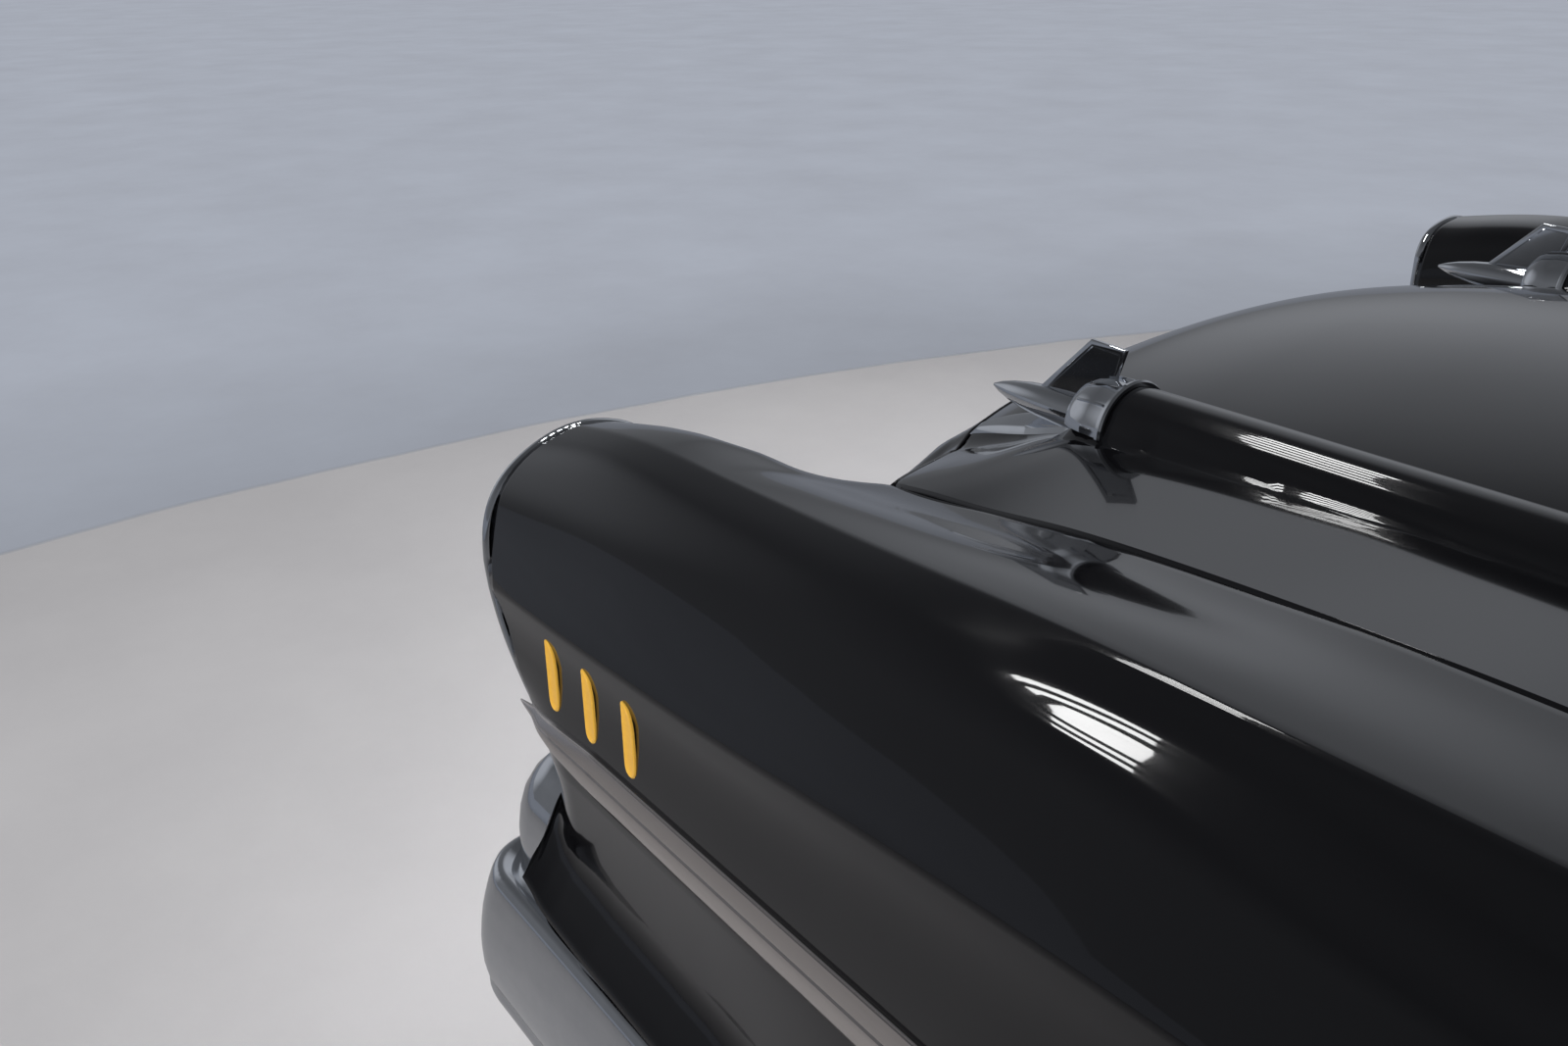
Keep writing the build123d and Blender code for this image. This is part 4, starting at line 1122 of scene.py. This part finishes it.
def make_fin():
    bm = slab([(x, AXIS_Y + 2.6, z) for x, z in FIN], (0, -5.2, 0))
    round_edges(bm, bm.edges[:], 1.1, 3)
    for side in (1, -1):
        face = max(bm.faces, key=lambda f: side * f.normal.y * f.calc_area())
        for width in (5.0, 0.8):
            bmesh.ops.inset_region(bm, faces=[face], thickness=width, depth=0.0,
                                   use_even_offset=True)
        bmesh.ops.translate(bm, verts=face.verts, vec=-face.normal)
    return bm


def plate_surface(u, v):
    x = 1197 - 160 * u
    across = 2 * v - 1
    y = AXIS_Y + (3 + 13 * np.sin(np.minimum(u * 1.3, 1) * pi / 2)) * across
    edge = np.minimum(1, 5 * (1 - np.abs(across))) ** 0.6 * np.minimum(1, 12 * u)
    return np.stack([x, y, hood_z(x, y) - 0.6 + 6.6 * edge], 1)


def make_ornament():
    return merge(spun(BULLET, AXIS_Y, AXIS_Z, steps=40), make_collar(), make_fin(),
                 grid(40, 12, plate_surface))


pair("rocket", make_ornament, "chrome", "hood_ornament", body="hood", angle=0.55)

# %% [markdown]
# Both bumper bars are pressed from thick steel strip, bent round the corners and chromed. A bar
# is its section, carried along a path: straight back beside the fender, round the corner and
# across the front with a slight crown. The section is a list of places outward and upward.

# %% Bent bars
BUMPER_STEEL = 3.0


def bar_path(end_x, side_y, front_x, crown, bend):
    """Points and outward directions in plan, from the left end round to the right end."""
    side = [((x, side_y), (0, 1)) for x in np.linspace(end_x, front_x - bend, 30)[:-1]]
    turn = [((front_x - bend + bend * sin(a), side_y - bend + bend * cos(a)), (sin(a), cos(a)))
            for a in np.linspace(0, pi / 2, 13)]
    half = side_y - bend
    front = [((front_x + crown * (1 - (y / half) ** 2), y), (1, 0))
             for y in np.linspace(half, 0, 40)[1:]]
    left = side + turn + front
    return left + [((x, -y), (nx, -ny)) for (x, y), (nx, ny) in left[-2::-1]]


def bar(path, section_at):
    """Grid along a path; section_at(y) gives (outward, height) points for a place across."""
    rows = len(section_at(0.0)) - 1

    def surface(u, v):
        places = []
        for at, row in zip(np.rint(u * (len(path) - 1)), np.rint(v * rows)):
            (x, y), (nx, ny) = path[int(at)]
            out, z = section_at(abs(y))[int(row)]
            places.append((x + nx * out, y + ny * out, z))
        return places
    return grid(len(path) - 1, rows, surface)


# %% [markdown]
# The lower bar carries the car's weight when it is pushed. Its face bulges in the middle, a
# groove above the bottom edge marks off a narrow rim, and the top is turned in. Its wings run
# back under the flare of the fenders as far as the wheel openings.

# %% Front bumper
LOWER_SECTION = ((-36, 436), (-24, 441), (-15, 447), (-8, 449), (-2, 446), (3, 436), (8, 422),
                 (12, 408), (16, 392), (19, 375), (21, 358), (21.6, 344), (21.3, 330),
                 (19.2, 316), (16.4, 309), (15.2, 306), (15.2, 303.5), (17, 300), (17.6, 295),
                 (15.5, 287), (10, 282.5), (0, 281), (-12, 282), (-22, 287))
WING_END = 962.0
LOWER_PATH = bar_path(WING_END, 926, 1440, 22, 66)
LOWER_TOP = ((0, 468), (560, 466), (780, 456), (880, 450), (926, 451))     # by place across
LOWER_WIDEST = 330.0


def lower_section(y):
    top = along(LOWER_TOP, y)
    tall = (top - LOWER_WIDEST) / (LOWER_TOP[-1][1] - LOWER_WIDEST)
    return [(out, LOWER_WIDEST + (z - LOWER_WIDEST) * tall if z > LOWER_WIDEST else z)
            for out, z in LOWER_SECTION]


def make_bumper():
    bm = bar(LOWER_PATH, lower_section)
    ends = border(bm, lambda v: v.co.x < WING_END + 0.5)
    fold(bm, ends, lambda co: Vector((co.x - 3, co.y - np.sign(co.y) * 12, co.z)))
    return bm


finish("bumper_bar", make_bumper(), "chrome", "front_bumper", thickness=BUMPER_STEEL)

# %% [markdown]
# The upper bar runs below the grille. Toward the corners it drops and swells, and its ends come
# down on the lower bar, so that from the side both look like one massive chrome corner.

# %% Upper bumper bar
UPPER_MIDDLE = ((-12, 645), (-4, 646), (2, 642), (7, 628), (9.6, 612), (10, 595), (9.6, 578),
                (7, 560), (2, 549), (-4, 545), (-12, 546))
UPPER_CORNER = ((-52, 584), (-34, 587), (-15, 580), (2, 563), (13, 544), (19, 525), (22.5, 502),
                (23, 479), (22, 456), (26, 447), (34, 445))
UPPER_PATH = bar_path(1302, 876, 1400, 22, 50)


def upper_section(y):
    share = float(step(600, 850, y))
    return [(a + (c - a) * share, b + (d - b) * share)
            for (a, b), (c, d) in zip(UPPER_MIDDLE, UPPER_CORNER)]


finish("upper_bar", bar(UPPER_PATH, upper_section), "chrome", "upper_bumper_bar",
       thickness=BUMPER_STEEL)

# %% [markdown]
# Two guards stand before the bars. Each is a deep pressing with a rounded nose, so it starts as
# a plate of its side outline and all its edges are rolled over with a wide radius.

# %% Bumper guards
GUARD = ((1465, 320), (1486, 325), (1502, 342), (1508, 380), (1508, 470), (1502, 530),
         (1488, 585), (1466, 622), (1446, 652), (1424, 652), (1424, 545), (1465, 484))


def make_guard():
    bm = slab([(x, 375, z) for x, z in GUARD], (0, 90, 0))
    round_edges(bm, sharp_edges(bm, 0.7), 11, 5)
    return bm


pair("guard", make_guard, "chrome", "bumper_guard", angle=0.6)

# %% [markdown]
# A round parking lamp sits on each end of the upper bar: a chromed ring that holds a thick
# ribbed lens. Both are turned parts.

# %% Parking lamps
PARK_Y, PARK_Z = 700.0, 590.0
PARK_RING = ((1414, 30), (1414, 38), (1421, 38), (1425, 36.5), (1426.5, 34), (1425, 31.5),
             (1421, 30.5))
PARK_LENS = ((1416, 0), (1416, 31), (1424, 31), (1429, 26), (1431, 18), (1432, 8), (1432, 0))
pair("parking_ring", lambda: spun(PARK_RING, PARK_Y, PARK_Z), "chrome")
pair("parking_glass", lambda: spun(PARK_LENS, PARK_Y, PARK_Z), "parking_lens", "parking_lamp")

# %% [markdown]
# The grille is an egg-crate panel in a chromed frame. The frame is a rolled moulding, bent to
# a rounded rectangle, so its section is carried round that loop.

# %% Grille frame
GRILLE_HALF, GRILLE_LOW, GRILLE_HIGH, GRILLE_CORNER = 691.0, 590.0, 802.0, 30.0
FRAME_SECTION = ((0, 1263), (0, 1284), (1.2, 1288.5), (4.5, 1291), (9, 1291), (13, 1288),
                 (15.2, 1282), (16, 1272), (16, 1263))
LOOP_STEPS = 8                      # steps round each corner
LOOP_COUNT = 4 * (LOOP_STEPS + 1)


def rounded_loop(half, low, high, radius):
    """Points of a rounded rectangle across the car, (y, z)."""
    points = []
    for side_y, side_z, start in ((1, 1, 0), (-1, 1, 1), (-1, -1, 2), (1, -1, 3)):
        centre_y = side_y * (half - radius)
        centre_z = high - radius if side_z > 0 else low + radius
        points += ring(centre_y, centre_z, radius, 4 * LOOP_STEPS, start * LOOP_STEPS,
                       LOOP_STEPS + 1)
    return points


def frame_surface(u, v):
    at = np.rint(u * LOOP_COUNT).astype(int) % LOOP_COUNT
    places = []
    for i, inward, x in zip(at, *picked(FRAME_SECTION, v)):
        loop = rounded_loop(GRILLE_HALF - inward, GRILLE_LOW + inward, GRILLE_HIGH - inward,
                            GRILLE_CORNER - inward)
        places.append((x, *loop[i]))
    return places


finish("grille_frame", closed(grid(LOOP_COUNT, len(FRAME_SECTION) - 1, frame_surface)),
       "chrome", "grille_surround", thickness=SHEET, angle=0.8)

# %% [markdown]
# For the panel a plane is divided into its cells. Every cell is inset by half a bar, the middle
# is cut out, and what is left is the lattice. It is drawn back into depth, and the front edges
# of the bars are rounded, as die-cast bars are.

# %% Grille panel
def make_lattice():
    half, low, high, front = 674.0, 607.0, 785.0, 1281.0
    bm = grid(20, 5, lambda u, v: np.stack(
        [np.full(len(u), front), half * (2 * u - 1), low + (high - low) * v], 1))
    cells = bm.faces[:]
    bmesh.ops.inset_individual(bm, faces=cells, thickness=3.4, depth=0.0,
                               use_even_offset=True)
    delete_faces(bm, cells)
    raise_faces(bm, (-13, 0, 0))
    rims = [e for e in sharp_edges(bm, 1) if min(v.co.x for v in e.verts) > front - 1]
    round_edges(bm, rims, 1.6, 2)
    return bm


finish("grille_lattice", make_lattice(), "bright_trim", "grille_mesh", angle=0.6)

# %% [markdown]
# Behind the upper bar a splash pan closes the gap between grille and bumper. It is one bent
# sheet with shallow stiffening beads across it, painted like the chassis.

# %% Stone guard
PAN_ROUTE = ((1266, 588), (1300, 586), (1332, 568), (1362, 546), (1392, 522), (1406, 512),
             (1424, 500), (1425, 497))


def pan_surface(u, v):
    distance = np.linspace(0, 1, len(PAN_ROUTE))
    x, z = (np.interp(v, distance, values) for values in zip(*PAN_ROUTE))
    bead = np.sin(np.clip((v - 0.15) / 0.6, 0, 1) * pi) ** 2
    wave = np.maximum(np.cos(u * 2 * pi * 14), 0) ** 4
    return np.stack([x, 838 * (2 * u - 1), z - 4 * bead * wave], 1)


def make_pan():
    bm = grid(224, 24, pan_surface)
    slots = [f for f in bm.faces if f.calc_center_median().x > 1350
             and abs(abs(f.calc_center_median().y) - 400) < 12]
    delete_faces(bm, slots)
    return bm


finish("splash_pan", make_pan(), "underside_paint", "stone_guard", thickness=1.5)

# %% [markdown]
# Two forged arms carry the bumper on the frame horns. Each has two bolt holes from above, a
# foot up to the core support, and a flat strut that holds the upper bar.

# %% Bumper brackets
ARM = ((1068, 360), (1440, 360), (1440, 410), (1104, 410), (1104, 469), (1068, 469))
STRUT = ((1354, 408), (1382, 408), (1382, 560), (1405, 582), (1405, 608), (1376, 608),
         (1374, 572))


def peg(at, radius, depth, segments=24, turn=0.0):
    """Upright cylinder or hexagon round a point, or turned about the x axis."""
    bm = bmesh.new()
    bmesh.ops.create_cone(bm, cap_ends=True, segments=segments, radius1=radius, radius2=radius,
                          depth=depth)
    if turn:
        bmesh.ops.rotate(bm, verts=bm.verts, matrix=Matrix.Rotation(turn, 3, "X"))
    bmesh.ops.translate(bm, verts=bm.verts, vec=at)
    return bm


def make_bracket():
    arm = slab([(x, 370, z) for x, z in ARM], (0, 60, 0))
    round_edges(arm, sharp_edges(arm, 1), 4, 3)
    strut = slab([(x, 395, z) for x, z in STRUT], (0, 10, 0))
    round_edges(strut, sharp_edges(strut, 1), 1.5, 2)
    bolts = [peg((x, 400, z), *form) for x in (1150, 1230)
             for z, form in ((409, (13, 8, 24)), (420, (9.5, 12, 6)))]      # washer and head
    return merge(arm, strut, *bolts)


pair("bumper_arm", make_bracket, "underside_paint", "bumper_bracket", angle=0.6)

# %% [markdown]
# Inside the fender a second skin keeps the engine bay clean: an upright wall below the gutter
# and a wheelhouse roof bent over the wheel. Pressed beads stop the thin roof from drumming.

# %% Inner fenders
GUTTER = ((0, 658), (180, 651.5), (545, 635.5), (925, 611), (1103, 598))
HOUSE_R, WALL_FOOT = 396.0, 560.0


def gutter_y(x):
    return between(GUTTER, x) + 5.8


def inner_wall(u, v):
    x = 20 + 1073 * u
    top = between(FOOT, x) + 12
    bead = np.maximum(np.sin(u * 2 * pi * 6), 0) ** 3 * np.sin(np.clip(v, 0, 1) * pi) ** 2
    return np.stack([x, gutter_y(x) + 3 * bead, WALL_FOOT + (top - WALL_FOOT) * v], 1)


def wheelhouse(u, v):
    turn = radians(18) + radians(144) * u
    x = ARCH_X - HOUSE_R * np.cos(turn)
    wall = gutter_y(x)
    bead = np.maximum(np.cos(u * 2 * pi * 9), 0) ** 3 * np.sin(np.clip(v * 1.2 - 0.1, 0, 1) * pi)
    radius = HOUSE_R + 4 * bead
    return np.stack([ARCH_X - radius * np.cos(turn), wall + (888 - wall) * v,
                     ARCH_Z + radius * np.sin(turn)], 1)


def make_inner_fender():
    wall = grid(180, 16, inner_wall)
    lower = border(wall, lambda v: v.co.z < WALL_FOOT + 0.1)
    fold(wall, lower, (0, 10, 0))
    round_edges(wall, lower, 2, 2)
    roof = grid(180, 24, wheelhouse)
    edge = border(roof, lambda v: v.co.y > 887.9)
    fold(roof, edge, lambda co: co + (co - Vector((ARCH_X, co.y, ARCH_Z))).normalized() * 10)
    return merge(wall, roof)


pair("wheelhouse", make_inner_fender, "underside_paint", "inner_fender", thickness=1.5)

# %% [markdown]
# The core support is a pressed frame with a large window for the radiator. The window's edge
# and the outer edge are flanged, a shelf on top carries the latch, and the foot is bolted.

# %% Core support
CORE_PLATE = ((-612, 470), (612, 470), (612, 858), (-612, 858))
WINDOW = ((-306, 529), (306, 529), (306, 818), (-306, 818))


def make_core():
    ports = [ring(side * 470, z, radius, count)
             for z, radius, count in ((650, 26, 24), (760, 18, 20)) for side in (1, -1)]
    plate = sheet(CORE_PLATE, [WINDOW, *ports], lambda y, z: (1100.5, y, z))
    rims = border(plate, lambda v: True)
    fold(plate, rims, (-9, 0, 0))
    round_edges(plate, rims, 2, 2)
    shelf = slab([(1071, -585, 857), (1071, 585, 857), (1131, 585, 857), (1131, -585, 857)],
                 (0, 0, -4))
    round_edges(shelf, sharp_edges(shelf, 1), 1.2, 2)
    foot = sheet([(1047, -590), (1101, -590), (1101, 590), (1047, 590)],
                 [ring(1074, side * 480, 6.5, 16) for side in (1, -1)],
                 lambda x, y: (x, y, 475))
    return merge(plate, shelf, foot)


finish("core_frame", make_core(), "underside_paint", "core_support", thickness=1.8, angle=0.7)

# %% [markdown]
# A radiator of the time has a brass tank above and below and a core between them: flat tubes
# stand upright, thin fins lie across them 4 mm apart. All is soldered and painted black.

# %% Radiator
NECK = ((1044, 19), (1012, 19), (1010, 20.5), (1006, 20.5), (1004.5, 19), (1004.5, 16),
        (1040, 16))


def make_radiator():
    parts = [block((1040, 1092), (-322, 322), (506, 548), 6),
             block((1040, 1092), (-322, 322), (799, 841), 8),
             block((1038, 1095), (-329, -318), (512, 836), 2),
             block((1038, 1095), (318, 329), (512, 836), 2)]
    parts += [block((1044, 1088), (-318, 318), (z, z + 0.5)) for z in range(550, 798, 4)]
    parts += [block((1047, 1085), (y - 1.1, y + 1.1), (546, 801)) for y in range(-308, 309, 14)]
    parts += [spun(NECK, y, z, steps=28) for y, z in ((180, 812), (-200, 535))]
    return merge(*parts)


finish("radiator_core", make_radiator(), "radiator_black", "radiator", angle=0.6)

# %% [markdown]
# The hood latch is a plated block with a bore; the striker, a pin with a rounded nose under the
# hood's frame, drops into it. Both are turned or milled steel.

# %% Latch and striker
def upright(profile, x, y, steps=28):
    """Turned shape round an upright axis, from (height, radius) points."""
    bm = spun([(height, radius) for height, radius in profile], 0, 0, steps=steps)
    for vertex in bm.verts:
        vertex.co = (x - vertex.co.z, y + vertex.co.y, vertex.co.x)
    return bm


def make_latch():
    body = sheet([(1083, -29), (1117, -29), (1117, 29), (1083, 29)], [ring(1100, 0, 12, 28)],
                 lambda x, y: (x, y, 879))
    rims = border(body, lambda v: True)
    fold(body, rims, (0, 0, -20))
    round_edges(body, [e for e in rims if abs(e.verts[0].co.y) > 20], 2, 3)
    lever = slab([(1118, -8, 868), (1134, -8, 868), (1134, 10, 868), (1118, 10, 868)],
                 (0, 0, 4))
    round_edges(lever, lever.edges[:], 1, 2)
    return merge(body, lever)


finish("latch_block", make_latch(), "zinc_plate", "hood_latch", angle=0.6)
STRIKER = ((868, 0), (869, 3.4), (872, 5.5), (876, 6), (884, 6), (886, 4.6), (890, 4.6),
           (892, 6), (960, 6), (960, 11), (968, 11), (968, 6), (974, 6), (974, 0))
finish("striker_pin", upright(STRIKER, 1100, 0), "zinc_plate", "hood_striker", "hood",
       angle=0.6)

# %% [markdown]
# Each horn is a pressed drum with a bolted rim and a flared bell, spun from sheet.

# %% Horns
HORN_PROFILE = ((1103, 0), (1103, 34), (1106, 38), (1112, 38), (1112, 43), (1118, 43),
                (1118, 37), (1126, 34), (1134, 24), (1142, 15), (1156, 15), (1172, 19),
                (1188, 27), (1202, 38), (1210, 48), (1212, 52), (1210, 52.5), (1208, 48))
HORN_AT = (470, 650)


def make_horn():
    bolts = [block((1117, 1121), (y - 2.2, y + 2.2), (z - 2.2, z + 2.2), 0.6)
             for y, z in ring(*HORN_AT, 40, 8)]
    return merge(spun(HORN_PROFILE, *HORN_AT, steps=40), *bolts)


pair("horn_bell", make_horn, "horn_black", "horn", angle=0.7)

# %% [markdown]
# The hood turns on two pivots behind the cowl line. On each side a bracket with a foot and a
# pin is bolted to the inner fender, and a flat gooseneck arm is bolted under the hood's frame.

# %% Hinges
PIVOT_X, PIVOT_Z, STAY_Y, ARM_Y = -40.0, 975.0, 600.0, 611.0
STAY = ((40, 850), (150, 850), (150, 890), (70, 915), (-22, 985), (-40, 991), (-56, 983),
        (-58, 967), (-45, 957), (10, 900))


def make_stay():
    plate = slab([(x, STAY_Y, z) for x, z in STAY], (0, 6, 0))
    round_edges(plate, sharp_edges(plate, 0.9), 1.2, 2)
    foot = block((40, 150), (STAY_Y, STAY_Y + 60), (850, 856), 1.2)
    pin = peg((PIVOT_X, ARM_Y, PIVOT_Z), 6, 22, turn=pi / 2)
    heads = [upright(((855, 0), (855, 9), (861, 9), (862, 8), (862, 0)), x, 632, 6)
             for x in (70, 120)]
    return merge(plate, foot, pin, *heads)


pair("hinge_stay", make_stay, "underside_paint", "hinge_bracket", angle=0.6)
# Outline of the arm: (x, height), from its eye along the underside and back on top.
GOOSENECK = ((-54, 967), (-48, 962), (-40, 960), (10, 938), (60, 930), (262, 938), (262, 970),
             (60, 979), (2, 982), (-20, 987), (-40, 990), (-50, 987), (-54, 982))


def make_arm():
    bm = sheet(GOOSENECK, [ring(PIVOT_X, PIVOT_Z, 6.05, 24), ring(90, 955, 9),
                           ring(190, 955, 9)], lambda x, z: (x, ARM_Y, z))
    rims = border(bm, lambda v: True)
    raise_faces(bm, (0, 6, 0))
    bmesh.ops.recalc_face_normals(bm, faces=bm.faces)
    round_edges(bm, [e for e in rims if e.is_valid], 0.8, 2)
    return bm


pair("hinge_gooseneck", make_arm, "underside_paint", "hinge_arm", body="hood", angle=0.6)
